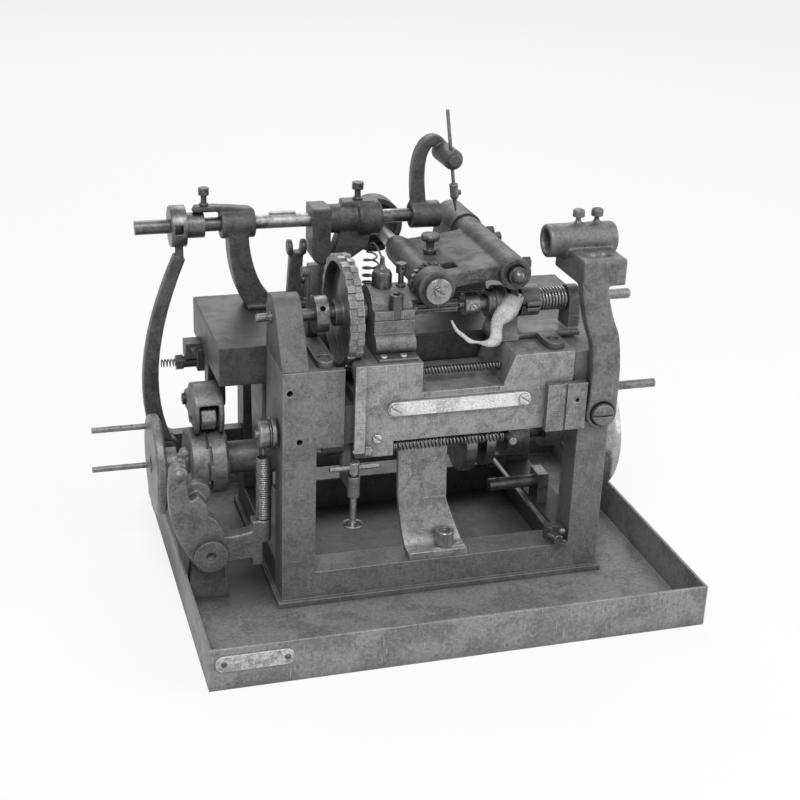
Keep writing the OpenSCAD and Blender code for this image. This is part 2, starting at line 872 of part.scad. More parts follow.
// Lug under the bed's left end for the follower's pivot
module follower_bracket() {
    y = follower_pivot_y;
    z = follower_pivot_z;
    color(cast)
        difference() {
            union() {
                block(bed_left, bed_left + 12, y - 7, y + 7, z, way_top);
                xrod(bed_left, bed_left + 12, 7, y, z);
            }
            xrod(bed_left - 1, bed_left + 13, 4 + fit, y, z);
        }
    color(steel)
        xrod(follower_x - 6, bed_left + 12, 4, y, z);
}

// Work carriage: apron in front of the beam, saddle on top of it and two raised blocks
module carriage() {
    slope = 7;
    color(cast)
        difference() {
            union() {
                block(apron_left, apron_right, apron_front, apron_back, apron_low, saddle_top);
                block(apron_left, low_block_x, apron_front, apron_back, 107, apron_low + 1);
                block(latch_x + latch_w + gap, latch_x + latch_w + 4, latch_pin_y - 2, apron_front,
                    latch_z - 2.5, latch_z + 3.5);
                block(apron_left, apron_right, apron_back - 1, carriage_back, way_top + gap,
                    saddle_top);
                block(left_block_x, left_block_x + left_block_w, apron_front, carriage_back,
                    saddle_top - 1, block_top);
                plate_y(apron_front, carriage_back)
                    polygon([[right_block_x, saddle_top - 1], [apron_right, saddle_top - 1],
                        [apron_right, block_top], [right_block_x + slope, block_top],
                        [right_block_x, saddle_top + 3]]);
            }
            block(-11, right_block_x - 3, apron_front - 1, apron_front + 1.2, 146, saddle_top + 1);
            xrod(latch_x, latch_x + latch_w + 5, latch_pin_r + fit, latch_pin_y, latch_z);
        }
}

strap_ends = [-30, 57.5];
strap_z = 140;
module tie_strap() {
    left = strap_ends[0];
    right = strap_ends[1];
    z = strap_z;
    half = 4.8;
    color(bright)
        difference() {
            plate_y(apron_front - strap_t, apron_front) {
                translate([left, z - half])
                    square([right - left, 2 * half]);
                for (x = strap_ends)
                    translate([x, z])
                        circle(r = half);
            }
            for (x = strap_ends)
                yrod(apron_front - strap_t - 1, apron_front + 1, 2.6, x, z);
        }
}

module carriage_screws() {
    color(bright) {
        for (x = strap_ends) {
            front_screw(x, apron_front - strap_t, strap_z, screw_r, 1.8);
            yrod(apron_front - strap_t, apron_front, 2.5, x, strap_z);
        }
        xrod(latch_x - 0.5, latch_x + latch_w + 5, latch_pin_r, latch_pin_y, latch_z);
        front_screw(-41, apron_front, 120, 3, 1.4);
        for (x = [headstock_x + 4, headstock_x + 17])
            zrod(block_top + 2, block_top + 3.6, 2.4, x, apron_front + 7.6);
    }
}

// Lower half of the headstock bearing, with its rounded front foot
module headstock_block() {
    x1 = headstock_x + headstock_w;
    y0 = work_y - cap_r - 4;
    y1 = work_y + cap_r + 4;
    color(cast)
        difference() {
            union() {
                block(headstock_x, x1, y0, y1, block_top, work_z - 0.2);
                xrod(headstock_x, x1, 7, shoe_y, block_top + 7.5);
                block(headstock_x, x1, apron_front + 4, y0 + 1, block_top, block_top + 2);
            }
            xrod(headstock_x - 1, x1 + 1, journal_r + fit, work_y, work_z);
            for (y = [y0 + 4, y1 - 4])
                zrod(work_z - 12, work_z + 1, 3 + fit, headstock_x + 15, y);
        }
}

module headstock_cap() {
    x1 = headstock_x + headstock_w;
    y0 = work_y - cap_r - 4;
    y1 = work_y + cap_r + 4;
    color(cast)
        difference() {
            union() {
                intersection() {
                    xrod(headstock_x, x1, cap_r, work_y, work_z);
                    block(headstock_x, x1, y0, y1, work_z + 0.2, work_z + cap_r + 1);
                }
                block(headstock_x, x1, y0, y1, work_z + 0.2, work_z + 6);
            }
            xrod(headstock_x - 1, x1 + 1, journal_r + fit, work_y, work_z);
            for (y = [y0 + 4, y1 - 4])
                zrod(work_z - 1, work_z + cap_r, 4.6, headstock_x + 15, y);
            zrod(cup_seat, work_z + cap_r + 1, cup_r + 0.1, cup_x, work_y);
            zrod(cup_seat, work_z + cap_r + 1, 3.2, headstock_x + 22, work_y - 2.5);
            zrod(coil_seat, work_z + cap_r + 1, coil_r + 0.9, coil_x, coil_y);
        }
}

// Cap screws, oil cup, thumb screw and coiled oil wire on the headstock
module headstock_fittings() {
    x = headstock_x + 15;
    y0 = work_y - cap_r;
    y1 = work_y + cap_r;
    color(steel) {
        for (y = [y0, y1])
            difference() {
                union() {
                    zrod(work_z - 11, work_z + 1, 3, x, y);
                    zrod(work_z + 0.2, work_z + 16, 4.5, x, y);
                }
                zrod(work_z + 13, work_z + 17, 2.5, x, y);
            }
        translate([cup_x, work_y, cup_seat])
            rotate_extrude()
                polygon([[0, 0], [cup_r, 0], [cup_r, 8.5], [5.6, 10.8], [3, 12.4], [1.7, 15], [1.4, 20],
                    [0, 20]]);
        thumb_screw(headstock_x + 22, work_y - 2.5, cup_seat, 16, 3.4);
        xrod(wheel_x + wheel_w + gap, headstock_x, coil_wire / 2, coil_y, coil_seat - 2);
        translate([coil_x, coil_y, coil_seat])
            spring("oil wire", cup_top - coil_seat, 5, coil_r, 0, coil_wire);
        translate([(coil_x + cup_x) / 2, (coil_y + work_y) / 2, cup_top])
            rotate([90, 0, atan2(coil_y - work_y, coil_x - cup_x)])
                rotate_extrude(angle = 180, $fn = 32)
                    translate([norm([coil_x - cup_x, coil_y - work_y]) / 2, 0])
                        circle(r = coil_wire / 2, $fn = 8);
    }
}

// Bearing of the tail spindle: flared column, base and rear post in one casting
module tail_bearing() {
    y0 = work_y - 12;
    y1 = work_y + 12;
    half = 9;
    right = tail_x + tail_w;
    neck = block_top + 9;
    color(cast)
        difference() {
            union() {
                block(right - 1, post_x + post_w, y0, y1, block_top, block_top + tail_base_t);
                block(post_x, post_x + post_w, work_y - half, work_y + half, block_top, work_z);
                xrod(post_x, post_x + post_w, half, work_y, work_z);
                plate_x(tail_x, right)
                    polygon([[work_y - half, work_z], [work_y - half, neck],
                        [work_y - half - 1.5, neck - 5], [work_y - half - 6, block_top],
                        [y1, block_top], [work_y + half, neck],
                        [work_y + half, work_z]]);
                plate_y(work_y - half, work_y + half)
                    polygon([[tail_x, work_z], [tail_x, neck + 4], [tail_x - 0.8, neck - 1],
                        [tail_x - 2.5, neck - 5], [tail_x - 2.5, block_top], [right + 6, block_top],
                        [right + 1.5, neck - 4], [right, neck], [right, work_z]]);
                xrod(tail_x, right, tail_ring_r, work_y, work_z);
                xrod(tail_x - 5, tail_x + 1, tail_ring_r - 2, work_y, work_z);
            }
            xrod(tail_x - 6, post_x + post_w + 1, tail_r + fit, work_y, work_z);
            block(tail_x + 8, tail_x + 9.6, work_y - 20, work_y, work_z - 2, work_z + 20);
        }
}

module upper_spring() {
    x0 = left_block_x + left_block_w;
    color(steel)
        spring_x("upper", x0, right_block_x + 2, upper_spring_y, upper_spring_z, 22,
            (spring_d - wire) / 2 - 0.7, 0, wire);
}

module carriage_spring() {
    color(steel)
        spring_x("carriage", low_block_x, stud_x - stud_r, low_spring_y, low_spring_z, 26,
            (spring_d - wire) / 2, 0, wire);
}

// The work spindle: left pin, shaft, headstock journal, nose and cutting arbor with its
// fluted pinion blank
module work_spindle() {
    x = ear_x - 10;
    blank_x = x + 105.5;
    step = 360 / blank_n;
    color(steel)
        union() {
            turned_x(x, work_y, work_z)
                polygon([[0, 0], [2, 0], [2.7, 0.7], [2.7, 9], [spindle_r, 9], [spindle_r, 61.5],
                    [journal_r + 1.5, 61.5], [journal_r + 1.5, 71.7], [journal_r, 71.7],
                    [journal_r, 99], [journal_r + 1, 99], [journal_r + 1, 102], [5, 102], [5, 105.5],
                    [arbor_r, 105.5], [arbor_r, 134], [0, 134]]);
            plate_x(blank_x - 0.5, blank_x + 28)
                translate([work_y, work_z])
                    polygon([for (i = [0:blank_n - 1], k = [0:3])
                        (k < 2 ? blank_r : blank_r - 1.5)
                            * [cos((i + [0, 0.4, 0.55, 0.85][k]) * step),
                                sin((i + [0, 0.4, 0.55, 0.85][k]) * step)]]);
        }
}

// The index wheel: hub, deep dished web and a rim with two rows of staggered notches
module index_wheel() {
    bore = spindle_r + fit;
    rim = index_r - 5;
    step = 360 / index_n;
    color(bright)
        union() {
            turned_x(wheel_x - 2, work_y, work_z)
                polygon([[bore, 0], [8.5, 0], [8.5, 5.5], [rim + 0.5, 8.5], [rim + 0.5, 11], [9, 9],
                    [9, 11], [bore, 11]]);
            for (row = [0, 1])
                plate_x(wheel_x + row * wheel_w / 2, wheel_x + (row + 1) * wheel_w / 2)
                    translate([work_y, work_z])
                        difference() {
                            polygon([for (i = [0:index_n - 1], k = [0:3])
                                let (a = (i + row / 2 + [0, 0.46, 0.5, 0.96][k]) * step)
                                (k < 2 ? index_r : index_r - notch_d) * [cos(a), sin(a)]]);
                            circle(r = rim);
                        }
        }
}

module spindle_collar() {
    x0 = -75;
    x1 = -66.5;
    color(steel)
        difference() {
            xrod(x0, x1, collar_r, work_y, work_z);
            xrod(x0 - 1, x1 + 1, spindle_r + fit, work_y, work_z);
            translate([(x0 + x1) / 2, work_y, work_z])
                rotate([55, 0, 0])
                    translate([0, 0, spindle_r + 1])
                        cylinder(h = collar_r, r = 1.8);
        }
}

// Index latch: an upright flat bar whose nose rests just clear of the wheel's rim
latch_x = apron_left - 2;
latch_w = 7;
latch_back = apron_front - 0.5;
latch_t = 3.5;
latch_z = 113;
latch_pin_y = latch_back - latch_t / 2;
latch_pin_r = 1.1;
module index_latch() {
    top = 172;
    color(bright)
        difference() {
            union() {
                block(latch_x, latch_x + latch_w, latch_back - latch_t, latch_back, latch_z - 1, top);
                plate_x(latch_x, latch_x + latch_w)
                    polygon([[latch_back - 1, top - 14], [latch_back - 1, top], [latch_back + 6, top],
                        [latch_back + 9, top - 6]]);
            }
            xrod(latch_x - 1, latch_x + latch_w + 1, index_r + gap + 0.1, work_y, work_z);
            xrod(latch_x - 1, latch_x + latch_w + 1, latch_pin_r + fit, latch_pin_y, latch_z);
        }
}

// The tail spindle: bright sleeve with a bore for the arbor, shaft and stepped tail
module tail_spindle() {
    x0 = 26;
    sleeve = 10;
    reach = 98;
    nose = 3.6;
    color(bright)
        difference() {
            turned_x(x0, work_y, work_z)
                polygon([[0, -nose], [arbor_r - 1, -nose], [arbor_r, 1 - nose], [arbor_r, 0],
                    [sleeve_r, 0], [sleeve_r, sleeve], [tail_r, sleeve], [tail_r, reach],
                    [tail_r - 1.5, reach], [tail_r - 1.5, reach + 20], [tail_r - 2.3, reach + 21],
                    [0, reach + 21]]);
            yrod(work_y - sleeve_r - 1, work_y - sleeve_r + 1, 2.2, x0 + 5, work_z);
        }
}

// Clamp collar on the tail spindle with its pinch screw
module tail_clamp() {
    x1 = clamp_x + clamp_w;
    color(steel)
        difference() {
            union() {
                xrod(clamp_x, x1, tail_ring_r - 1, work_y, work_z);
                block(clamp_x + 2, x1 - 2, work_y - tail_ring_r - 3, work_y - 4, work_z - 3, work_z + 3);
            }
            xrod(clamp_x - 1, x1 + 1, tail_r + fit, work_y, work_z);
            block(clamp_x - 1, x1 + 1, work_y - 20, work_y - tail_r + 1, work_z - 0.6, work_z + 0.6);
        }
}

module tail_spring() {
    x0 = clamp_x + clamp_w;
    r = tail_r + 0.5 + 0.8;
    color(steel)
        spring_x("tail", x0, post_x, work_y, work_z, 7, r + 0.6, r + 0.6, 1.6);
}

module camshaft() {
    color(steel)
        xrod(disc_x + 2, 150, cam_shaft_r, cam_y, cam_z);
}

// Crank disc on the left end with its hub and two long pins
pin_angles = [62, -26];
module crank_disc() {
    bore = cam_shaft_r + fit;
    color(steel) {
        difference() {
            turned_x(disc_x, cam_y, cam_z)
                polygon([[bore, 0], [disc_r - 1.5, 0], [disc_r, 1.5], [disc_r, disc_t - 1.5],
                    [disc_r - 1.5, disc_t], [10.5, disc_t], [10.5, 17], [bore, 17]]);
            for (a = pin_angles)
                xrod(disc_x - 1, disc_x + disc_t + 1, pin_root + fit, cam_y + pin_ring * cos(a),
                    cam_z + pin_ring * sin(a));
        }
        for (a = pin_angles) {
            xrod(disc_x - pin_len, disc_x + 1, 2, cam_y + pin_ring * cos(a), cam_z + pin_ring * sin(a));
            xrod(disc_x, disc_x + disc_t, pin_root, cam_y + pin_ring * cos(a), cam_z + pin_ring * sin(a));
        }
    }
}

// Barrel cam with a zig-zag groove round its middle
module barrel_cam() {
    bore = cam_shaft_r + fit;
    step = 360 / zigzag_n;
    swing = 1.6;
    color(bright)
        difference() {
            turned_x(barrel_x, cam_y, cam_z)
                polygon([[bore, -4], [8.5, -4], [8.5, 0], [barrel_r - 2, 0], [barrel_r, 2],
                    [barrel_r, barrel_w - 2], [barrel_r - 2, barrel_w], [bore, barrel_w]]);
            for (i = [0:zigzag_n - 1])
                translate([barrel_x + barrel_w / 2, cam_y, cam_z])
                    rotate([i * step, 0, 0])
                        translate([i % 2 == 0 ? swing / 2 : -swing / 2, 0, barrel_r])
                            cube([1.8, 2 * barrel_r * tan(step / 2) + 1, 5], center = true);
        }
}

// Cams and collar in the middle of the cam shaft, seen through the window
module drum_cams() {
    bore = cam_shaft_r + fit;
    color(bright) {
        difference() {
            xrod(40, 48, 25, cam_y, cam_z);
            xrod(39, 49, bore, cam_y, cam_z);
        }
        difference() {
            union() {
                xrod(56, 63, 22, cam_y, cam_z);
                xrod(48, 69, 12, cam_y, cam_z);
            }
            xrod(47, 70, bore, cam_y, cam_z);
            for (a = [30:120:270])
                xrod(55, 64, 3, cam_y + 16 * cos(a), cam_z + 16 * sin(a));
        }
        difference() {
            xrod(74, 90, 17, cam_y, cam_z);
            xrod(73, 91, bore, cam_y, cam_z);
        }
    }
}

// Flat belt wheel on the right end, with four round openings in its web
module belt_wheel() {
    x0 = 136;
    w = 12;
    bore = cam_shaft_r + fit;
    color(steel)
        difference() {
            turned_x(x0, cam_y, cam_z)
                polygon([[bore, -2], [12, -2], [12, 4], [wheel_r - 6, 4], [wheel_r - 6, 0],
                    [wheel_r - 1, 0], [wheel_r + 0.4, w / 2], [wheel_r - 1, w],
                    [wheel_r - 6, w], [wheel_r - 6, 8],
                    [12, 8], [12, w], [bore, w]]);
            for (a = [45:90:315])
                xrod(x0 - 1, x0 + w + 1, 9, cam_y + 26 * cos(a), cam_z + 26 * sin(a));
        }
}

// Cradle of the cutter head: plate, long pivot boss and two bearings of the cutter spindle
cutter_gap_y0 = work_y - 5;
cutter_gap_y1 = work_y + 7;
module cutter_cradle() {
    front = frame_front + 12;
    back = over_y - 15 - gap;
    ring_back = 50;
    rear_boss_r = cutter_boss_r - 2.8;
    x = cutter_x;
    color(cast)
        difference() {
            union() {
                yrod(front, back, pivot_boss_r, head_x, head_z);
                yrod(front + 4, cutter_gap_y0, cutter_boss_r, x, cutter_z);
                yrod(cutter_gap_y1, ring_back, rear_boss_r, x, cutter_z);
                plate_y(front + 6, ring_back - 2)
                    polygon([[x, cutter_z - 2], [x, cutter_z + 8], [head_x - 14, head_z + 4],
                        [head_x - 4, head_z + 6], [head_x, head_z - 8], [head_x - 14, head_z - 5]]);
            }
            yrod(front - 1, back + 1, pivot_r + fit, head_x, head_z);
            yrod(front, ring_back + 1, cutter_shaft_r + fit, x, cutter_z);
            block(x - 25, x + 18, cutter_gap_y0, cutter_gap_y1, cutter_z - 20, cutter_z + 20);
            yrod(cutter_gap_y0, cutter_gap_y1, cutter_disc_r + 4, x, cutter_z);
            zrod(head_screw_seat, head_screw_seat + 9, 6.6, head_screw_x, head_screw_y);
            for (by = pinch_y)
                xrod(head_x + pinch_seat, head_x + 20, 4.4, by, head_z + 3);
        }
}

// Thumb screw and pinch bolts of the cutter head
head_screw_x = cutter_x + 10;
head_screw_y = 13;
head_screw_seat = cutter_z + 8.5;
pinch_seat = 9.2;
pinch_y = [-26, 30, 44];
module head_fittings() {
    z = head_screw_seat;
    color(steel) {
        translate([head_screw_x, head_screw_y, z])
            rotate_extrude()
                polygon([[0, 0], [4.4, 0], [4.4, 3], [2.8, 4], [2.8, 8], [5.6, 9], [6.2, 10],
                    [6.2, 12.5], [5.6, 13.5], [0, 13.5]]);
        for (by = pinch_y)
            translate([head_x + pinch_seat, by, head_z + 3])
                rotate([0, 90, 0])
                    cylinder(h = 5, r = 4, $fn = 6);
    }
}

module cutter_spindle() {
    front = frame_front + 12;
    color(steel)
        difference() {
            union() {
                yrod(front + 2, 126, cutter_shaft_r, cutter_x, cutter_z);
                yrod(front, front + 3.7, 8.5, cutter_x, cutter_z);
                yrod(front - 2.5, front + 1, 3.4, cutter_x, cutter_z);
                yrod(50.3, 56, 8.5, cutter_x, cutter_z);
            }
            translate([cutter_x, front - 2.5, cutter_z])
                rotate([0, 30, 0])
                    cube([8, 1.6, 1.2], center = true);
        }
}

// The cutter: a thin disc with ratchet-shaped teeth
module cutter() {
    step = 360 / cutter_n;
    half = 2;
    color(bright)
        difference() {
            plate_y(work_y - half, work_y + half)
                translate([cutter_x, cutter_z])
                    polygon([for (i = [0:cutter_n - 1], k = [0, 1])
                        (k == 0 ? cutter_disc_r : cutter_disc_r - 2.4)
                            * [cos(i * step + k * 3), sin(i * step + k * 3)]]);
            yrod(work_y - 3, work_y + 3, cutter_shaft_r + fit, cutter_x, cutter_z);
        }
}

module drive_pulley() {
    y0 = 108;
    bore = cutter_shaft_r + fit;
    color(dark)
        translate([cutter_x, y0 + 15, cutter_z])
            rotate([90, 0, 0])
                rotate_extrude()
                    polygon([[bore, 0], [9, 0], [9, 4], [pulley_r - 5, 4], [pulley_r - 4, 0],
                        [pulley_r, 0], [pulley_r - 1.2, 7], [pulley_r, 14], [pulley_r - 4, 14],
                        [pulley_r - 5, 10], [9, 10], [9, 15], [bore, 15]]);
}

// The overhead shaft with its notched collar and flat key
module overhead_shaft() {
    x = over_collar_x;
    color(steel) {
        difference() {
            union() {
                xrod(over_left, 38, over_r, over_y, over_z);
                turned_x(x, over_y, over_z)
                    polygon([[0, 0], [13.5, 0], [14, 1], [14, 10.5], [8.6, 10.5], [8.6, 23],
                        [0, 23]]);
                block(-84, -66, over_y - 1.8, over_y + 1.8, over_z, over_z + over_r + 1.8);
            }
            block(x + 2, x + 10.6, over_y - lever_t / 2 - 1, over_y + lever_t / 2 + 1, over_z - 20,
                lever_top_z + 1.5);
            translate([x + 5, over_y - 11, over_z + 1])
                cube([5.5, 6, 6], center = true);
        }
    }
}

// Gooseneck: collar on the shaft, curved neck and clamp that holds the pointer rod
tilt = atan(10 / 74);
module gooseneck() {
    x0 = 16;
    x1 = 37;
    color(cast)
        difference() {
            union() {
                xrod(x0, x1, over_boss_r - 0.6, over_y, over_z);
                plate_y(over_y - 4, over_y + 4) {
                    polygon(bar_outline([22, over_z + 6], [16, goose_z + 3], [29, goose_z + 8.5],
                        5.2, 3.8, 10));
                    polygon(bar_outline([28, goose_z + 8.2], [35, goose_z + 11],
                        [goose_x, goose_z], 3.8, 4.2, 6));
                }
                yrod(goose_y - 5, over_y + 4, 7, goose_x, goose_z);
            }
            xrod(x0 - 1, x1 + 1, over_r + fit, over_y, over_z);
            translate([goose_x, goose_y, goose_z])
                rotate([0, 180 - tilt, 0])
                    cylinder(h = 30, r = rod_r + fit, center = true);
        }
    color(steel)
        translate([goose_x, goose_y - 5, goose_z])
            rotate([90, 0, 0])
                cylinder(h = 4, r = 5, $fn = 6);
}

module pointer_rod() {
    low = (goose_z - tip_z) / cos(tilt);
    color(steel)
        translate([goose_x, goose_y, goose_z])
            rotate([0, 180 - tilt, 0])
                rotate_extrude()
                    polygon([[0, -rod_up], [rod_r, -rod_up], [rod_r, low - 21], [3, low - 20],
                        [3, low - 11], [1.6, low - 9], [0.5, low - 1], [0, low]]);
}

// The long curved lever from its low pivot up into the collar's notch
module shift_lever() {
    pin = 4 + fit;
    top = [over_collar_x + 6.3, lever_top_z - 12];
    color(cast)
        difference() {
            plate_y(over_y - lever_t / 2, over_y + lever_t / 2) {
                polygon(bar_outline(top, [-183, 122], [lever_x, lever_z], 4, 6.5, 14));
                translate([top[0] - 2.4, top[1] - 3])
                    square([4.8, lever_top_z - top[1] + 3]);
                translate([lever_x, lever_z])
                    circle(r = 9);
            }
            yrod(over_y - lever_t / 2 - 1, over_y + lever_t / 2 + 1, pin, lever_x, lever_z);
        }
}

// Swinging arm on the right: hub, S-shaped stem, top block and clamp tube
module bracket_arm() {
    y1 = frame_front - 0.5;
    y0 = y1 - arm_t;
    top = arm_z + 89;
    block_h = 18;
    tube_y = work_y - 9;
    tube_z = top + block_h + 3.5;
    color(cast)
        difference() {
            union() {
                plate_y(y0, y1) {
                    translate([arm_x, arm_z])
                        circle(r = 11);
                    polygon(bar_outline([arm_x, arm_z], [arm_x + 2, arm_z + 39], [arm_x - 3, arm_z + 56],
                        10.5, 9.5, 8));
                    polygon(bar_outline([arm_x - 3, arm_z + 55], [arm_x - 10, arm_z + 70],
                        [arm_x - 13, top + 2], 9.6, 9, 6));
                }
                block(arm_x - 22, arm_x + 8, y0, work_y + 3, top, top + block_h);
                xrod(77, 124.5, tube_r, tube_y, tube_z);
            }
            yrod(y0 - 1, y1 + 1, 5 + fit, arm_x, arm_z);
            yrod(y0 - 1, y0 + 3.5, 8, arm_x, arm_z);
            xrod(76, 126, tube_bore, tube_y, tube_z);
            for (x = [arm_x - 12, arm_x - 4])
                zrod(top + block_h - 3, top + block_h + 1, 4.5, x, y0 + 13);
        }
    color(bright)
        for (x = [arm_x - 13, arm_x])
            thumb_screw(x, tube_y, tube_z + tube_r - 0.8, 10, 3.4);
}

// Bell crank: hub, curved left arm with a boss and ball screw, web that carries the roller,
// right arm with a block and plug for the spring
crank_spring_x = frame_left - 9;
crank_plug = 16;
crank_seat = crank_z + 21;
module bell_crank() {
    y1 = crank_y + crank_t;
    roller_x = crank_x - 6.5;
    roller_z = crank_z + 40;
    boss_x = crank_x - 19;
    boss_z = crank_z + 59;
    block_x = crank_spring_x - 8;
    color(cast)
        difference() {
            union() {
                plate_y(crank_y, y1) {
                    translate([crank_x, crank_z])
                        circle(r = 12.5);
                    polygon(bar_outline([crank_x - 3, crank_z], [crank_x - 23, crank_z + 26],
                        [boss_x, boss_z], 9.5, 5.5, 10));
                    translate([boss_x, boss_z])
                        circle(r = 6);
                    polygon([[crank_x - 8, crank_z + 6], [crank_x + 12, crank_z + 4],
                        [crank_x + 9, crank_z + 15], [crank_x + 5, crank_z + 24],
                        [crank_x, crank_z + 28], [roller_x + 5, roller_z - 4], [roller_x, roller_z + 3],
                        [crank_x - 17, crank_z + 38]]);
                    polygon([[crank_x, crank_z + 11], [crank_x, crank_z - 8], [block_x + 2, crank_z - 6],
                        [block_x + 2, crank_z + 14], [crank_x + 18, crank_z + 12]]);
                    translate([block_x, crank_z - 12])
                        square([7, 33]);
                }
                zrod(crank_seat - crank_plug, crank_seat, 5, crank_spring_x, stud_roller_y);
                zrod(boss_z + 4, boss_z + 13, 1.8, boss_x + 4, crank_y + crank_t / 2);
                translate([boss_x + 4, crank_y + crank_t / 2, boss_z + 14])
                    sphere(r = 3.4, $fn = 24);
                yrod(y1 - 1, y1 + 6, 9, roller_x, roller_z);
                yrod(y1 - 1, y1 + 12, 3, roller_x, roller_z);
            }
            yrod(crank_y - 1, y1 + 1, crank_pin_r + fit, crank_x, crank_z);
        }
    color(bright)
        yrod(crank_y - 2, crank_y, 3, boss_x, boss_z);
}

// Tension spring from the bell crank's block up to the stud roller
module crank_spring() {
    z1 = stud_roller_z - stud_roller_r - hook_len;
    color(bright)
        translate([crank_spring_x, stud_roller_y, crank_seat])
            spring("crank", z1 - crank_seat, 21, 4.4, 0, 1.4);
}

// Hooded follower above the barrel cam
module follower_arm() {
    x0 = follower_x;
    x1 = follower_x + follower_w;
    py = follower_pivot_y;
    pz = follower_pivot_z;
    cheek = 3.5;
    hood_r = follower_r + 8;
    color(cast)
        difference() {
            plate_x(x0 - cheek - 0.5, x1 + cheek + 0.5) {
                translate([cam_y + 2, follower_z + 4])
                    circle(r = hood_r);
                polygon([[cam_y + 8, follower_z + hood_r + 2], [py, pz + 7], [py + 2, pz - 6.5],
                    [cam_y + 12, follower_z - 5]]);
                translate([py, pz])
                    circle(r = 7);
            }
            block(x0 - 0.5, x1 + 0.5, cam_y - 30, cam_y + 13, follower_z - 30,
                follower_z + follower_r + 1.5);
            block(bed_left - 1, x1 + 10, py - 9, py + 15, pz - 20, pz + 20);
            xrod(x0 - 20, x1 + 20, 4 + fit, py, pz);
            xrod(x0 - 20, x1 + 20, barrel_r + 2.5, cam_y, cam_z);
            xrod(x0 - 10, x1 + 10, 2.5 + fit, cam_y - 1, follower_z);
        }
    color(steel)
        xrod(x0 - cheek - 2, x1 + cheek + 2, 2.5, cam_y - 1, follower_z);
}

module follower_roller() {
    color(bright)
        turned_x(follower_x + gap, cam_y - 1, follower_z)
            polygon([[2.5 + fit, 0], [follower_r - 1, 0], [follower_r, 1],
                [follower_r, follower_w - 1 - 2 * gap], [follower_r - 1, follower_w - 2 * gap],
                [2.5 + fit, follower_w - 2 * gap]]);
}

// Clamp screw with a cross handle and a foot pad
module t_handle() {
    bar_z = 105;
    pad_z = 64;
    half = 16;
    color(bright)
        union() {
            zrod(pad_z, bar_z + 4, 2.2, handle_x, handle_y);
            zrod(bar_z - 4, bar_z + 4, 3.6, handle_x, handle_y);
            xrod(handle_x - half, handle_x + half, 1.9, handle_y, bar_z);
            translate([handle_x, handle_y, pad_z - 1])
                rotate_extrude()
                    polygon([[0, 0], [6, 0], [6.5, 1], [6.5, 1.8], [3, 3], [0, 3]]);
        }
}

tray();
front_frame();
back_frame();
side_rails();
bed_plate();
spindle_ear();
keeper_lug();
shaft_hangers();
foot_bracket();
frame_screws();
left_dog();
overhead_arm();
overhead_bracket();
overhead_screws();
spring_studs();
crank_stand();
lever_bracket();
adjust_stop();
frame_rods();
clamp_bracket();
head_pedestal();
pivot_shaft();
follower_bracket();
carriage();
tie_strap();
carriage_screws();
headstock_block();
headstock_cap();
headstock_fittings();
tail_bearing();
right_dog();
upper_spring();
carriage_spring();
work_spindle();
index_wheel();
spindle_collar();
index_latch();
tail_spindle();
tail_clamp();
tail_spring();
camshaft();
crank_disc();
barrel_cam();
drum_cams();
belt_wheel();
cutter_cradle();
head_fittings();
cutter_spindle();
cutter();
drive_pulley();
overhead_shaft();
gooseneck();
shift_lever();
pointer_rod();
bracket_arm();
bell_crank();
crank_spring();
follower_arm();
follower_roller();
t_handle();
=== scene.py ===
import math

import bmesh
import bpy
from mathutils import Matrix, Vector


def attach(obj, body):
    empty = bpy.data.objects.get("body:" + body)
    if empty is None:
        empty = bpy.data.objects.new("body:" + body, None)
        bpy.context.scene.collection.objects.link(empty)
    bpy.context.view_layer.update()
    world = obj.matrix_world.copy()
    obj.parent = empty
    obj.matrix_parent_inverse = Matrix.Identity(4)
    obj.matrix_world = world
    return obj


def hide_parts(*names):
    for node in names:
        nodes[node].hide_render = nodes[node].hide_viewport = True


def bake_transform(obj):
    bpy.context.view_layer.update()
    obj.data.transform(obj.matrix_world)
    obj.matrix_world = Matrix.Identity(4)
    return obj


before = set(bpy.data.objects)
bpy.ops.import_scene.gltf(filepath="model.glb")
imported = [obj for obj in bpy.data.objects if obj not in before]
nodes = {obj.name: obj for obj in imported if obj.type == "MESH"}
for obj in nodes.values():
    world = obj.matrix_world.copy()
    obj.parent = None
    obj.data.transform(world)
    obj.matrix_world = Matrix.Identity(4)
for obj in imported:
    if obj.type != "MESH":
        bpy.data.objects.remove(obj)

scene = bpy.context.scene
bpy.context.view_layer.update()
mm = 0.001
print("frame loaded with", len(nodes), "nodes")


# Camera and lamps

cameraSettings = {
    "place": (-0.28313, -0.87247, 0.51451),
    "turn": 0.30408,
    "dip": 0.40667,
    "lean": 0.03834,
    "lens": 66.0,
    "sensor": 36.0,
}


def placeCamera(settings):
    turn, dip, lean = settings["turn"], settings["dip"], settings["lean"]
    ahead = Vector((math.sin(turn) * math.cos(dip), math.cos(turn) * math.cos(dip), -math.sin(dip)))
    level = Vector((math.cos(turn), -math.sin(turn), 0))
    over = level.cross(ahead)
    right = level * math.cos(lean) + over * math.sin(lean)
    up = over * math.cos(lean) - level * math.sin(lean)
    camera = bpy.data.objects.new("camera", bpy.data.cameras.new("camera"))
    scene.collection.objects.link(camera)
    camera.data.lens = settings["lens"]
    camera.data.sensor_width = settings["sensor"]
    camera.data.clip_start, camera.data.clip_end = 0.05, 50
    rotation = Matrix((right, up, -ahead)).transposed().to_4x4()
    camera.matrix_world = Matrix.Translation(settings["place"]) @ rotation
    scene.camera = camera


# Each lamp: place, size and power in watts; all of them aim at the same point
lampSettings = {
    "aim": (0, 0, 0.14),
    "key": {"place": (-0.5, -1.3, 1.85), "size": 0.9, "power": 33},
    "fill": {"place": (1.7, -0.9, 0.9), "size": 1.6, "power": 17},
    "back": {"place": (0.3, 1.7, 1.7), "size": 1.4, "power": 16},
}


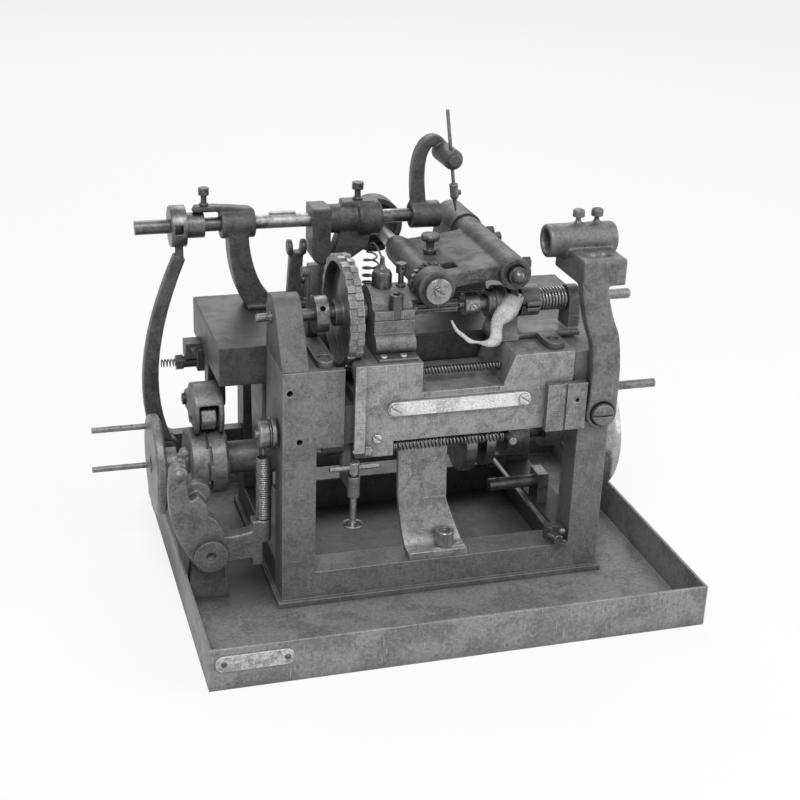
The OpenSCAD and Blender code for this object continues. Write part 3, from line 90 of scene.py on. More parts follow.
def hangLamp(name, lamp, aim):
    light = bpy.data.lights.new(name, "AREA")
    light.shape = "SQUARE"
    light.size = lamp["size"]
    light.energy = lamp["power"]
    holder = bpy.data.objects.new(name, light)
    scene.collection.objects.link(holder)
    way = Vector(aim) - Vector(lamp["place"])
    turned = way.to_track_quat("-Z", "Y").to_matrix().to_4x4()
    holder.matrix_world = Matrix.Translation(lamp["place"]) @ turned


# Materials

class Wire:
    # a socket that takes part in sums, each of which adds a Math node
    def __init__(self, finish, socket):
        self.finish, self.socket = finish, socket

    def sum(self, operation, one, two):
        return self.finish.node("Math", {"operation": operation}, {0: one, 1: two})

    def __add__(self, other):
        return self.sum("ADD", self, other)

    def __sub__(self, other):
        return self.sum("SUBTRACT", self, other)

    def __rsub__(self, other):
        return self.sum("SUBTRACT", other, self)

    def __mul__(self, other):
        return self.sum("MULTIPLY", self, other)

    def most(self, other):
        return self.sum("MAXIMUM", self, other)

    def least(self, other):
        return self.sum("MINIMUM", self, other)

    def between(self, low, high):
        # 0 below low, 1 above high, smooth in the middle
        return self.finish.node("MapRange", {"interpolation_type": "SMOOTHSTEP"},
                                {"Value": self, "From Min": low, "From Max": high})

    __radd__ = __add__
    __rmul__ = __mul__


class Finish:
    # the nodes of one material or world, and the only way in which they are made
    def __init__(self, owner):
        self.owner = owner
        owner.use_nodes = True
        self.tree = owner.node_tree
        self.tree.nodes.clear()

    def node(self, kind, settings=None, sockets=None, out=0):
        made = self.tree.nodes.new("ShaderNode" + kind)
        for key, value in (settings or {}).items():
            setattr(made, key, value)
        for key, value in (sockets or {}).items():
            if isinstance(value, Wire):
                self.tree.links.new(value.socket, made.inputs[key])
            else:
                made.inputs[key].default_value = value
        return Wire(self, made.outputs[out]) if made.outputs else None

    def place(self, shift, scale=(1, 1, 1)):
        # object coordinates in millimetres
        spot = self.node("TexCoord", out="Object")
        return self.node("Mapping", {}, {"Vector": spot, "Location": shift,
                                         "Scale": [1000 * s for s in scale]})

    def noise(self, spot, size, detail, rough, warp=0.0):
        return self.node("TexNoise", {}, {"Vector": spot, "Scale": 1 / size, "Detail": detail,
                                          "Roughness": rough, "Distortion": warp}, out="Fac")

    def mix(self, factor, one, two, blend="MIX"):
        grey = [(v, v, v, 1) if isinstance(v, float) else v for v in (one, two)]
        return self.node("Mix", {"data_type": "RGBA", "blend_type": blend},
                         {0: factor, 6: grey[0], 7: grey[1]}, out=2)


# Every metal here is a grey: tones are linear, sizes are in millimetres.
# tone is the clean surface, low the oily patches and, darkened, the dark grains, the pits and the
# painted corner shade; worn the rubbed edges
metalSettings = {
    "frameIron": {"tone": 0.15, "low": 0.095, "worn": 0.3, "metal": 0.3, "rough": 0.52,
                  "patch": 22, "grain": 1.9, "pits": 0.09, "lines": None, "edge": 0.85},
    "bedIron": {"tone": 0.09, "low": 0.04, "worn": 0.22, "metal": 0.3, "rough": 0.44,
                "patch": 15, "grain": 1.8, "pits": 0.1, "lines": None, "edge": 0.9},
    "machinedIron": {"tone": 0.19, "low": 0.105, "worn": 0.42, "metal": 0.45, "rough": 0.44,
                     "patch": 12, "grain": 1.6, "pits": 0.06, "lines": None, "edge": 0.75},
    "cradleIron": {"tone": 0.1, "low": 0.022, "worn": 0.24, "metal": 0.3, "rough": 0.5,
                   "patch": 14, "grain": 1.7, "pits": 0.07, "lines": None, "edge": 0.9},
    "traySteel": {"tone": 0.23, "low": 0.125, "worn": 0.5, "metal": 0.1, "rough": 0.55,
                  "patch": 30, "grain": 2.3, "pits": 0.1, "lines": None, "edge": 0.95},
    "turnedSteelX": {"tone": 0.24, "low": 0.1, "worn": 0.46, "metal": 0.75, "rough": 0.34,
                     "patch": 9, "grain": 1.2, "pits": 0.03, "lines": (3.0, 0.05, 0.05), "edge": 0.5},
    "turnedSteelY": {"tone": 0.24, "low": 0.1, "worn": 0.46, "metal": 0.75, "rough": 0.34,
                     "patch": 9, "grain": 1.2, "pits": 0.03, "lines": (0.05, 3.0, 0.05), "edge": 0.5},
    "turnedSteelZ": {"tone": 0.24, "low": 0.1, "worn": 0.46, "metal": 0.75, "rough": 0.36,
                     "patch": 9, "grain": 1.2, "pits": 0.03, "lines": (0.05, 0.05, 3.0), "edge": 0.5},
    "brightSteelX": {"tone": 0.46, "low": 0.2, "worn": 0.66, "metal": 0.85, "rough": 0.28,
                     "patch": 11, "grain": 1.1, "pits": 0.02, "lines": (2.6, 0.05, 0.05), "edge": 0.5},
    "brightPlate": {"tone": 0.44, "low": 0.21, "worn": 0.64, "metal": 0.7, "rough": 0.34,
                    "patch": 14, "grain": 1.3, "pits": 0.03, "lines": (0.04, 2.2, 2.2), "edge": 0.5},
    "tagMetal": {"tone": 0.5, "low": 0.2, "worn": 0.8, "metal": 0.3, "rough": 0.45,
                 "patch": 6, "grain": 1.2, "pits": 0.06, "lines": None, "edge": 1.0},
    "paleStrip": {"tone": 0.5, "low": 0.34, "worn": 0.66, "metal": 0.0, "rough": 0.7,
                  "patch": 8, "grain": 1.4, "pits": 0.04, "lines": None, "edge": 0.5},
    "springSteel": {"tone": 0.2, "low": 0.1, "worn": 0.4, "metal": 0.8, "rough": 0.34,
                    "patch": 7, "grain": 0.9, "pits": 0.01, "lines": None, "edge": 0.3},
}

# Wear and painted corner shade that all the metals share: from where to where the noise of a layer
# counts, and its share.
# bevel and reach are in metres: the radius of rubbed edges and how far the painted shade, with dirt,
# reaches out from a corner
wearAndShadeSettings = {
    "oil": (0.44, 0.62), "oilShare": 0.75, "smear": (0.5, 0.68), "smearShare": 0.35,
    "pale": (0.48, 0.72), "dark": (0.3, 0.5), "grainShare": 0.55, "pit": (0.28, 0.36), "pitShare": 0.6,
    "scratch": (0.655, 0.73), "scratchShare": 0.45, "scratchWays": ((0.09, 2.6, 1.1), (1.3, 2.1, 0.08)),
    "edge": (0.008, 0.11), "edgeBreaks": (0.28, 0.56), "bevel": 0.001,
    "corner": (0.25, 0.95), "shadeAndGrimeShare": 0.85, "reach": 0.012, "bump": 0.85,
}

# Places where light or shade is painted on a node: an ellipsoid in millimetres, and what the tone is
# multiplied by. On the tray it is painted shadow, with oil, on the floor inside the frame and under the
# bell crank; on the overhead shaft it is a brighter middle, partly painted highlight and partly polish
paintedLightPlaces = {
    "tray": [{"centre": (-36, 32, 3), "half": (158, 88, 30), "times": 0.33},
             {"centre": (-122, 12, 3), "half": (66, 74, 30), "times": 0.42}],
    "overhead_shaft": [{"centre": (-50, 80, 213), "half": (52, 60, 60), "times": 3.0}],
}


def metalFinish(kind, shade=1.0, node=None):
    # the same shade of the same metal is made once
    name = kind + "%03d" % round(shade * 100) + ("_" + node if node in paintedLightPlaces else "")
    if name in bpy.data.materials:
        return bpy.data.materials[name]
    settings, wear = dict(metalSettings[kind]), wearAndShadeSettings
    for key in ("tone", "low", "worn"):
        settings[key] *= shade
    shift = 13.0 * list(metalSettings).index(kind)  # each metal has its own part of the noise
    finish = Finish(bpy.data.materials.new(name))
    spot = finish.place((shift, shift * 0.7, shift * 1.3))
    patches = finish.noise(spot, settings["patch"], 4, 0.6, 0.6)
    speckle = finish.noise(spot, settings["grain"], 4, 0.75)
    smears = finish.noise(spot, settings["patch"] * 0.22, 5, 0.65, 1.2)
    oily = patches.between(*wear["oil"]) * wear["oilShare"]
    oily = oily + smears.between(*wear["smear"]) * wear["smearShare"]
    pits = 1 - finish.noise(spot, settings["grain"] * 0.9, 2, 0.5).between(*wear["pit"])
    colour = finish.mix(oily, settings["tone"], settings["low"])
    colour = finish.mix(speckle.between(*wear["pale"]) * wear["grainShare"], colour,
                        settings["tone"] * 1.55)
    colour = finish.mix((1 - speckle.between(*wear["dark"])) * wear["grainShare"], colour,
                        settings["low"] * 0.6)
    # fine scratches, in two ways across the surface
    scratches = 0.0
    for across in wear["scratchWays"]:
        thin = finish.noise(finish.place((shift * 0.4, 7, shift), across), 1.0, 2, 0.5, 0.25)
        scratches = thin.between(*wear["scratch"]) + scratches
    colour = finish.mix(scratches.least(1.0) * wear["scratchShare"], colour, settings["worn"])
    rounded = finish.node("Bevel", {"samples": 4}, {"Radius": wear["bevel"]})
    flat = finish.node("NewGeometry", out="Normal")
    turn = finish.node("VectorMath", {"operation": "DOT_PRODUCT"}, {0: rounded, 1: flat}, out="Value")
    breaks = wear["edgeBreaks"]
    rubbed = (1 - turn).between(*wear["edge"]) * finish.noise(spot, 2.6, 4, 0.7).between(*breaks)
    colour = finish.mix(rubbed * settings["edge"], colour, settings["worn"])
    # painted shade: darker in corners and recesses that the ambient occlusion finds, broken up by the
    # speckle as dirt
    corner = finish.node("AmbientOcclusion", {"samples": 6}, {"Distance": wear["reach"]}, out="AO")
    shadeAndGrime = (1 - corner.between(*wear["corner"])) * (0.5 + 0.6 * speckle)
    colour = finish.mix(shadeAndGrime * wear["shadeAndGrimeShare"], colour, settings["low"] * 0.35)
    colour = finish.mix(pits * wear["pitShare"], colour, settings["low"] * 0.4)
    height = speckle * 0.6 + smears * 0.4 - pits * 1.2
    rough = settings["rough"] + (patches - 0.5) * 0.25 + (speckle - 0.5) * 0.2 - rubbed * 0.1
    if settings["lines"]:
        along = finish.place((shift, 0, shift), settings["lines"])
        lines = finish.noise(along, 1.0, 3, 0.6)
        height = height * 0.5 + lines * 0.5
        rough = rough + (lines - 0.5) * 0.2
        colour = finish.mix(lines.between(0.3, 0.75) * 0.2, colour, settings["worn"])
    bump = finish.node("Bump", {}, {"Strength": wear["bump"], "Distance": settings["pits"] * mm * 1.4,
                                    "Height": height, "Normal": rounded})
    # painted light: the tone is multiplied inside each ellipsoid, darker for the tray's painted shadow,
    # brighter for the shaft's painted highlight
    for spread in paintedLightPlaces.get(node, ()):
        around = [-c / h for c, h in zip(spread["centre"], spread["half"])]
        reach = finish.node("VectorMath", {"operation": "LENGTH"},
                            {0: finish.place(around, [1 / h for h in spread["half"]])}, out="Value")
        paintedLightMask = 1 - (reach + (patches - 0.5) * 0.9 + (smears - 0.5) * 0.3).between(0.7, 1.1)
        colour = finish.mix(paintedLightMask, colour, float(spread["times"]), "MULTIPLY")
    shader = finish.node("BsdfPrincipled", {}, {"Base Color": colour, "Metallic": settings["metal"],
                                                "Roughness": rough, "Normal": bump})
    finish.node("OutputMaterial", {}, {"Surface": shader})
    return finish.owner


# Geometry trees

class Shape:
    # one tree of Geometry Nodes and the only way in which its nodes are made
    def __init__(self, name, inputs):
        self.tree = bpy.data.node_groups.new(name, "GeometryNodeTree")
        face = self.tree.interface
        face.new_socket("Geometry", in_out="INPUT", socket_type="NodeSocketGeometry")
        for label, kind in inputs:
            face.new_socket(label, in_out="INPUT", socket_type="NodeSocket" + kind)
        face.new_socket("Geometry", in_out="OUTPUT", socket_type="NodeSocketGeometry")
        self.start = self.tree.nodes.new("NodeGroupInput")
        self.last = self.tree.nodes.new("NodeGroupOutput")

    def input(self, label):
        return self.start.outputs[label]

    def node(self, kind, settings=None, sockets=None, out=0):
        made = self.tree.nodes.new(kind)
        for key, value in (settings or {}).items():
            setattr(made, key, value)
        for key, value in (sockets or {}).items():
            if isinstance(value, bpy.types.NodeSocket):
                self.tree.links.new(value, made.inputs[key])
            else:
                made.inputs[key].default_value = value
        return made.outputs[out]

    def end(self, socket):
        self.tree.links.new(socket, self.last.inputs[0])

    def fit(self, thing, values):
        # hangs the tree on an object, each input set by its socket's identifier
        modifier = thing.modifiers.new(self.tree.name, "NODES")
        modifier.node_group = self.tree
        for item in self.tree.interface.items_tree:
            if item.item_type == "SOCKET" and item.in_out == "INPUT" and item.name in values:
                modifier[item.identifier] = values[item.name]


def newThing(name, vertices, edges=(), faces=()):
    mesh = bpy.data.meshes.new(name)
    mesh.from_pydata([Vector(v) for v in vertices], list(edges), list(faces))
    thing = bpy.data.objects.new(name, mesh)
    scene.collection.objects.link(thing)
    return thing


def settle(thing):
    # turns the evaluated result into the object's own plain mesh
    bpy.context.view_layer.update()
    ready = thing.evaluated_get(bpy.context.evaluated_depsgraph_get())
    mesh = bpy.data.meshes.new_from_object(ready)
    thing.modifiers.clear()
    thing.data = mesh
    mesh.name = thing.name
    return thing


def finishPiece(thing, body, material=None, replaced=()):
    if material:
        thing.data.materials.clear()
        thing.data.materials.append(material)
    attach(thing, body)
    if replaced:
        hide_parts(*replaced)


seamGap = 0.00001  # metres within which loose triangles are one surface

# Seams of the imported triangles are closed, and edges over the limit are sharp
seamTree = Shape("closeSeams", [("Sharp Angle", "Float")])
merged = seamTree.node("GeometryNodeMergeByDistance", {}, {"Geometry": seamTree.input("Geometry"),
                                                          "Distance": seamGap})
bend = seamTree.node("GeometryNodeInputMeshEdgeAngle")
sharp = seamTree.node("FunctionNodeCompare", {"data_type": "FLOAT", "operation": "GREATER_THAN"},
                      {0: bend, 1: seamTree.input("Sharp Angle")})
seamTree.end(seamTree.node("GeometryNodeSetMeshNormal", {"mode": "SHARPNESS"},
                           {"Mesh": merged, "Edge Sharpness": sharp}))

# A wire of round section along a line of points
wireTree = Shape("wireAlongLine", [("Radius", "Float"), ("Sides", "Int"), ("Material", "Material")])
line = wireTree.node("GeometryNodeMeshToCurve", {}, {"Mesh": wireTree.input("Geometry")})
ring = wireTree.node("GeometryNodeCurvePrimitiveCircle", {}, {"Resolution": wireTree.input("Sides"),
                                                              "Radius": wireTree.input("Radius")})
tube = wireTree.node("GeometryNodeCurveToMesh", {}, {"Curve": line, "Profile Curve": ring,
                                                     "Fill Caps": True})
whole = wireTree.node("GeometryNodeRealizeInstances", {}, {"Geometry": tube})
wireTree.end(wireTree.node("GeometryNodeSetMaterial", {}, {"Geometry": whole,
                                                           "Material": wireTree.input("Material")}))
wireSides = 10

# Round rivet heads, half sunk, one on each point of a mesh
rivetTree = Shape("rivetsOnPoints", [("Radius", "Float"), ("Height", "Float"), ("Material", "Material")])
ball = rivetTree.node("GeometryNodeMeshUVSphere", {}, {"Segments": 24, "Rings": 12, "Radius": 1.0})
squash = rivetTree.node("ShaderNodeCombineXYZ", {}, {0: rivetTree.input("Radius"),
                                                     1: rivetTree.input("Height"),
                                                     2: rivetTree.input("Radius")})
rivet = rivetTree.node("GeometryNodeTransform", {}, {"Geometry": ball, "Scale": squash})
row = rivetTree.node("GeometryNodeInstanceOnPoints", {}, {"Points": rivetTree.input("Geometry"),
                                                         "Instance": rivet})
apart = rivetTree.node("GeometryNodeRealizeInstances", {}, {"Geometry": row})
rivetTree.end(rivetTree.node("GeometryNodeSetMaterial", {}, {"Geometry": apart,
                                                             "Material": rivetTree.input("Material")}))


def wirePiece(name, points, thick, material):
    # points are in metres, the wire's thickness in millimetres
    edges = [(i, i + 1) for i in range(len(points) - 1)]
    thing = newThing(name, points, edges)
    wireTree.fit(thing, {"Radius": thick / 2 * mm, "Sides": wireSides, "Material": material})
    return settle(thing)


# node: metal, rounding of its edges in millimetres, shade of the metal; the low shades of back_frame and
# cutter are painted shade, as both lie in shadow
nodeFinishes = {
    "tray": ("traySteel", 0.5, 1.0), "front_frame": ("frameIron", 0.8, 1.2),
    "back_frame": ("frameIron", 0.8, 0.6), "side_rails": ("frameIron", 0.6, 0.45),
    "bed_plate": ("bedIron", 0.9, 0.75), "spindle_ear": ("frameIron", 0.9, 0.7),
    "keeper_lug": ("machinedIron", 0.5, 1.25), "shaft_hangers": ("bedIron", 0.7, 1.5),
    "foot_bracket": ("machinedIron", 0.5, 1.85), "frame_screws": ("turnedSteelY", 0.25, 1.4),
    "left_dog": ("machinedIron", 0.4, 1.0), "overhead_arm": ("bedIron", 0.9, 0.9),
    "overhead_bracket": ("bedIron", 0.9, 0.9), "overhead_screws": ("turnedSteelZ", 0.2, 0.4),
    "spring_studs": ("turnedSteelX", 0.2, 1.0), "crank_stand": ("frameIron", 0.6, 1.0),
    "lever_bracket": ("bedIron", 0.6, 0.9), "frame_rods": ("turnedSteelX", 0.3, 0.8),
    "clamp_bracket": ("machinedIron", 0.4, 0.7), "head_pedestal": ("bedIron", 0.9, 0.9),
    "pivot_shaft": ("turnedSteelY", 0.3, 0.45), "follower_bracket": ("bedIron", 0.5, 0.7),
    "carriage": ("machinedIron", 0.6, 1.55), "tie_strap": ("brightPlate", 0.3, 1.6),
    "carriage_screws": ("brightPlate", 0.2, 1.2), "headstock_block": ("machinedIron", 0.5, 0.95),
    "headstock_cap": ("machinedIron", 0.5, 0.95), "tail_bearing": ("machinedIron", 0.5, 0.8),
    "right_dog": ("machinedIron", 0.4, 0.8), "work_spindle": ("turnedSteelX", 0.15, 0.8),
    "index_wheel": ("turnedSteelX", 0.15, 0.95), "spindle_collar": ("turnedSteelX", 0.3, 0.8),
    "index_latch": ("brightPlate", 0.25, 0.8), "tail_spindle": ("turnedSteelX", 0.25, 1.1),
    "tail_clamp": ("machinedIron", 0.3, 0.7), "camshaft": ("turnedSteelX", 0.3, 0.8),
    "crank_disc": ("machinedIron", 0.3, 1.0), "barrel_cam": ("machinedIron", 0.15, 1.0),
    "drum_cams": ("turnedSteelX", 0.3, 1.0), "belt_wheel": ("brightSteelX", 0.4, 0.8),
    "cutter_cradle": ("cradleIron", 0.7, 1.0), "head_fittings": ("turnedSteelZ", 0.3, 0.5),
    "cutter_spindle": ("brightSteelX", 0.3, 0.7), "cutter": ("turnedSteelY", 0.08, 0.5),
    "drive_pulley": ("bedIron", 0.3, 1.0), "overhead_shaft": ("turnedSteelX", 0.3, 0.55),
    "gooseneck": ("bedIron", 0.8, 1.0), "shift_lever": ("bedIron", 0.9, 1.0),
    "pointer_rod": ("turnedSteelZ", 0.1, 0.8), "bracket_arm": ("machinedIron", 0.7, 0.88),
    "bell_crank": ("machinedIron", 0.8, 0.95), "follower_arm": ("machinedIron", 0.8, 0.9),
    "follower_roller": ("brightSteelX", 0.2, 0.7), "t_handle": ("brightSteelX", 0.2, 0.65),
}
roundingSettings = {"sharpDegrees": 32, "flatDegrees": 0.4, "steps": 2}


def softEdges(thing, rounding):
    limit = math.radians(roundingSettings["sharpDegrees"])
    seamTree.fit(thing, {"Sharp Angle": limit})
    flats = thing.modifiers.new("joinFlats", "DECIMATE")
    flats.decimate_type = "DISSOLVE"
    flats.angle_limit = math.radians(roundingSettings["flatDegrees"])
    soft = thing.modifiers.new("roundEdges", "BEVEL")
    soft.width = rounding * mm
    soft.segments = roundingSettings["steps"]
    soft.limit_method = "ANGLE"
    soft.angle_limit = limit
    soft.harden_normals = True


# Castings whose form flows: size of the voxels in millimetres and how often they are smoothed
castings = {
    "bracket_arm": (0.75, 26), "bell_crank": (0.65, 12), "gooseneck": (0.6, 12),
    "overhead_arm": (0.65, 14), "cutter_cradle": (0.7, 8), "follower_arm": (0.6, 26),
    "tail_bearing": (0.65, 10), "overhead_bracket": (0.7, 8), "clamp_bracket": (0.6, 8),
}


def softCasting(thing, voxel, rounds):
    seamTree.fit(thing, {"Sharp Angle": math.pi})
    blocks = thing.modifiers.new("castForm", "REMESH")
    blocks.mode = "VOXEL"
    blocks.voxel_size = voxel * mm
    blocks.use_smooth_shade = True
    flow = thing.modifiers.new("flow", "SMOOTH")
    flow.factor = 0.5
    flow.iterations = rounds


for name, (metal, rounding, shade) in nodeFinishes.items():
    nodes[name].data.materials.clear()
    nodes[name].data.materials.append(metalFinish(metal, shade, name))
    if name in castings:
        softCasting(nodes[name], *castings[name])
    else:
        softEdges(nodes[name], rounding)
print("CAD nodes dressed:", len(nodeFinishes))


# Springs: coils of round wire in place of the plain ones

# closed is the number of turns that lie side by side at each end; lengths in millimetres
springSettings = {
    "upperCoil": {"start": (-12, -40, 158), "end": (46, -40, 158), "turns": 27, "closed": 1.5,
                  "radius": 2.4, "wire": 1.15, "shade": 0.9, "bodies": ("work_carriage",),
                  "replaces": "upper_spring"},
    "carriageCoil": {"start": (-30, -51.5, 112), "end": (47.5, -51.5, 112), "turns": 32, "closed": 1.5,
                     "radius": 2.9, "wire": 1.25, "shade": 0.9, "bodies": ("work_carriage", "frame"),
                     "replaces": "carriage_spring"},
    "tailCoil": {"start": (77, -17, 193.3), "end": (98, -17, 193.3), "turns": 9, "closed": 0.8,
                 "radius": 7.1, "wire": 1.6, "shade": 1.5, "bodies": ("tail", "work_carriage"),
                 "replaces": "tail_spring"},
    "crankCoil": {"start": (-111, -36, 61), "end": (-111, -36, 106), "turns": 33, "closed": 2,
                  "radius": 4.5, "wire": 1.15, "shade": 1.3, "bodies": ("crank", "frame"),
                  "replaces": "crank_spring"},
}
coilSteps = 18  # points on each turn
coilPack = 1.04  # pitch of the closed turns, in thicknesses of the wire


def coilPoints(settings):
    start, end = Vector(settings["start"]) * mm, Vector(settings["end"]) * mm
    axis = (end - start).normalized()
    side = axis.orthogonal().normalized()
    other = axis.cross(side)
    wire, turns, closed = settings["wire"] * mm, settings["turns"], settings["closed"]
    tight = wire * coilPack
    opened = (end - start).length - wire - 2 * closed * tight
    points = []
    for i in range(round(turns * coilSteps) + 1):
        turn = i / coilSteps
        middle = min(max((turn - closed) / (turns - 2 * closed), 0), 1)
        along = wire / 2 + (min(turn, closed) + max(turn - turns + closed, 0)) * tight + opened * middle
        angle = math.tau * turn
        reach = side * math.cos(angle) + other * math.sin(angle)
        points.append(start + axis * along + reach * settings["radius"] * mm)
    return points


for name, settings in springSettings.items():
    coil = wirePiece(name, coilPoints(settings), settings["wire"],
                     metalFinish("springSteel", settings["shade"]))
    if len(settings["bodies"]) == 2:
        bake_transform(coil)
        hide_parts(settings["replaces"])
    else:
        finishPiece(coil, settings["bodies"][0], None, (settings["replaces"],))
print("springs wound:", len(springSettings))


# Nodes with a wound part: the solid part stays, the wire is wound again

def partOfNode(node, name, isWire):
    # a copy of a node's mesh without the faces whose middle is wire, in millimetres
    work = bmesh.new()
    work.from_mesh(nodes[node].data)
    bmesh.ops.remove_doubles(work, verts=work.verts, dist=seamGap)
    gone = [face for face in work.faces if isWire(face.calc_center_median() / mm)]
    bmesh.ops.delete(work, geom=gone, context="FACES")
    thing = newThing(name, [])
    work.to_mesh(thing.data)
    work.free()
    return thing


def joinThings(name, things):
    with bpy.context.temp_override(active_object=things[0], selected_editable_objects=things):
        bpy.ops.object.join()
    things[0].name = name
    return things[0]


# Oil wire: a coil that stands on its seat beside the cup, draws in at the top and bows over into the
# cup's nozzle. reach and slack say which faces of the solid are its wire
oilSettings = {"axis": (-34.2, -5.0), "seat": 202.8, "cup": (-30.0, -17.0), "cupTop": 229.0, "turns": 5,
               "radius": 5.0, "wire": 1.3, "firstAngle": 2.2, "drawnFrom": 0.75, "drawnIn": 0.35,
               "inset": 1, "climb": 1.15, "bow": 7.5, "bowLean": 0.8, "bowSteps": 14, "sunk": 1.5,
               "reach": 5.7, "slack": 0.05, "rounding": 0.25}


def isOilWire(spot):
    beside = math.hypot(spot.x - oilSettings["axis"][0], spot.y - oilSettings["axis"][1])
    slack = oilSettings["slack"]
    onSeat = spot.z > oilSettings["seat"] - slack and beside < oilSettings["reach"]
    return onSeat or spot.z > oilSettings["cupTop"] + slack


def oilWirePoints():
    settings, points = oilSettings, []
    count = round(settings["turns"] * coilSteps)
    for i in range(count + 1):
        part = i / count
        drawn = max(part - settings["drawnFrom"], 0) / (1 - settings["drawnFrom"])
        radius = settings["radius"] * (1 - settings["drawnIn"] * drawn)
        angle = math.tau * settings["turns"] * part + settings["firstAngle"]
        climb = settings["cupTop"] - settings["seat"] - 2 * settings["inset"]
        height = settings["seat"] + settings["inset"] + climb * part ** settings["climb"]
        points.append(Vector((settings["axis"][0] + radius * math.cos(angle),
                              settings["axis"][1] + radius * math.sin(angle), height)))
    first, last = points[-1], Vector((*settings["cup"], settings["cupTop"] - settings["sunk"]))
    for i in range(1, settings["bowSteps"] + 1):
        part = i / settings["bowSteps"]
        spot = first.lerp(last, part)
        spot.z += settings["bow"] * math.sin(math.pi * part ** settings["bowLean"])
        points.append(spot)
    return [point * mm for point in points]


fittings = partOfNode("headstock_fittings", "fittingsBody", isOilWire)
fittings.data.materials.append(metalFinish("turnedSteelZ", 0.5))
softEdges(fittings, oilSettings["rounding"])
oilWire = wirePiece("oilWire", oilWirePoints(), oilSettings["wire"], metalFinish("springSteel", 0.45))
finishPiece(joinThings("headstockFittings", [settle(fittings), oilWire]), "work_carriage", None,
            ("headstock_fittings",))

# Adjusting stop: its block and screw, with the small spring wound again
stopSpring = {"start": (-150, 75, 130), "end": (-160.5, 75, 130), "turns": 5, "closed": 0.5,
              "radius": 2.4, "wire": 0.9, "slack": 0.02, "rounding": 0.4}
stopBody = partOfNode("adjust_stop", "stopBody",
                      lambda spot: spot.x < stopSpring["start"][0] - stopSpring["slack"])
stopBody.data.materials.append(metalFinish("bedIron", 0.9))
softEdges(stopBody, stopSpring["rounding"])
stopCoil = wirePiece("stopCoil", coilPoints(stopSpring), stopSpring["wire"],
                     metalFinish("springSteel", 0.8))
finishPiece(joinThings("adjustStop", [settle(stopBody), stopCoil]), "frame", None,
            ("adjust_stop",))
print("wound fittings made")


# Small pieces that only the photograph shows

def smoothLine(points, steps):
    # a curve through the given points, each of which is a tuple of numbers
    line = []
    ends = [points[0]] + list(points) + [points[-1]]
    for i in range(len(points) - 1):
        four = [Vector(p) for p in ends[i:i + 4]]
        for k in range(steps):
            t = k / steps
            line.append(0.5 * (2 * four[1] + (four[2] - four[0]) * t
                               + (2 * four[0] - 5 * four[1] + 4 * four[2] - four[3]) * t ** 2
                               + (3 * four[1] - four[0] - 3 * four[2] + four[3]) * t ** 3))
    return line + [Vector(points[-1])]


# Hook of the crank's spring: up from its top coil and round the roller's groove
hookSettings = {"start": [(-111, -36, 105.4), (-110.4, -36, 108), (-108.8, -36, 110.6),
                          (-107.5, -36, 112.4)],
                "middle": (-107.5, -36, 121.5), "radius": 8.85, "turn": 305, "wire": 1.1,
                "lineSteps": 5, "turnSteps": 40}


def hookPoints():
    line = smoothLine(hookSettings["start"], hookSettings["lineSteps"])
    x, y, z = hookSettings["middle"]
    for i in range(1, hookSettings["turnSteps"] + 1):
        angle = math.radians(hookSettings["turn"]) * i / hookSettings["turnSteps"]
        line.append(Vector((x, y - hookSettings["radius"] * math.sin(angle),
                            z - hookSettings["radius"] * math.cos(angle))))
    return [point * mm for point in line]


hook = wirePiece("springHook", hookPoints(), hookSettings["wire"], metalFinish("springSteel", 1.1))
finishPiece(hook, "frame")

# Pale strip that hangs from the tail bearing's screw: x, y, z and width along it. It is hollow on the
# side that faces along towards; cup is how deep, as a share of the width
stripSettings = {
    "line": [(57.4, -29.2, 201.4, 12), (56.2, -29.5, 198.6, 12.5), (51.9, -30.5, 191.5, 13.5),
             (44.7, -34, 186.3, 9), (42.5, -38, 180.3, 7.5), (41, -40.5, 175.8, 8.4),
             (35.6, -40.5, 173.8, 4.6), (29.5, -40, 174.9, 1.6), (24.3, -39, 175.8, 2.9),
             (20, -37, 179.2, 2.6), (16.1, -35, 182.5, 2.3), (13, -33, 188.6, 1)],
    "towards": (0.27, 0.87, -0.4), "cup": 0.09, "thick": 0.45, "steps": 4,
    "ribs": (-0.5, -0.25, 0, 0.25, 0.5),
}


def hangStrip(settings):
    line = smoothLine(settings["line"], settings["steps"])
    look = Vector(settings["towards"]).normalized()
    vertices, faces, ribs = [], [], settings["ribs"]
    for i, spot in enumerate(line):
        ahead = line[min(i + 1, len(line) - 1)].xyz - line[max(i - 1, 0)].xyz
        across = ahead.cross(look).normalized()
        cup = look * settings["cup"] * spot[3]
        for k in ribs:
            vertices.append((spot.xyz + across * spot[3] * k - cup * (1 - 4 * k * k)) * mm)
        if i:
            here, before = len(ribs) * i, len(ribs) * (i - 1)
            faces += [(before + k, before + k + 1, here + k + 1, here + k) for k in range(len(ribs) - 1)]
    strip = newThing("paleStrip", vertices, faces=faces)
    thick = strip.modifiers.new("thick", "SOLIDIFY")
    thick.thickness = settings["thick"] * mm
    thick.offset = 0
    return settle(strip)


strip = hangStrip(stripSettings)
strip.data.shade_smooth()
finishPiece(strip, "work_carriage", metalFinish("paleStrip"))


# Form of a round head: sides of its circle, then shares of its height (wall, rise, slotFrom) and of its
# radius (shoulder); crown lists radius and height of the last rings
headSettings = {"sides": 28, "wall": 0.55, "shoulder": 0.25, "rise": 0.37, "slotFrom": 0.45,
                "crown": ((0.5, 0.97), (0.2, 1))}


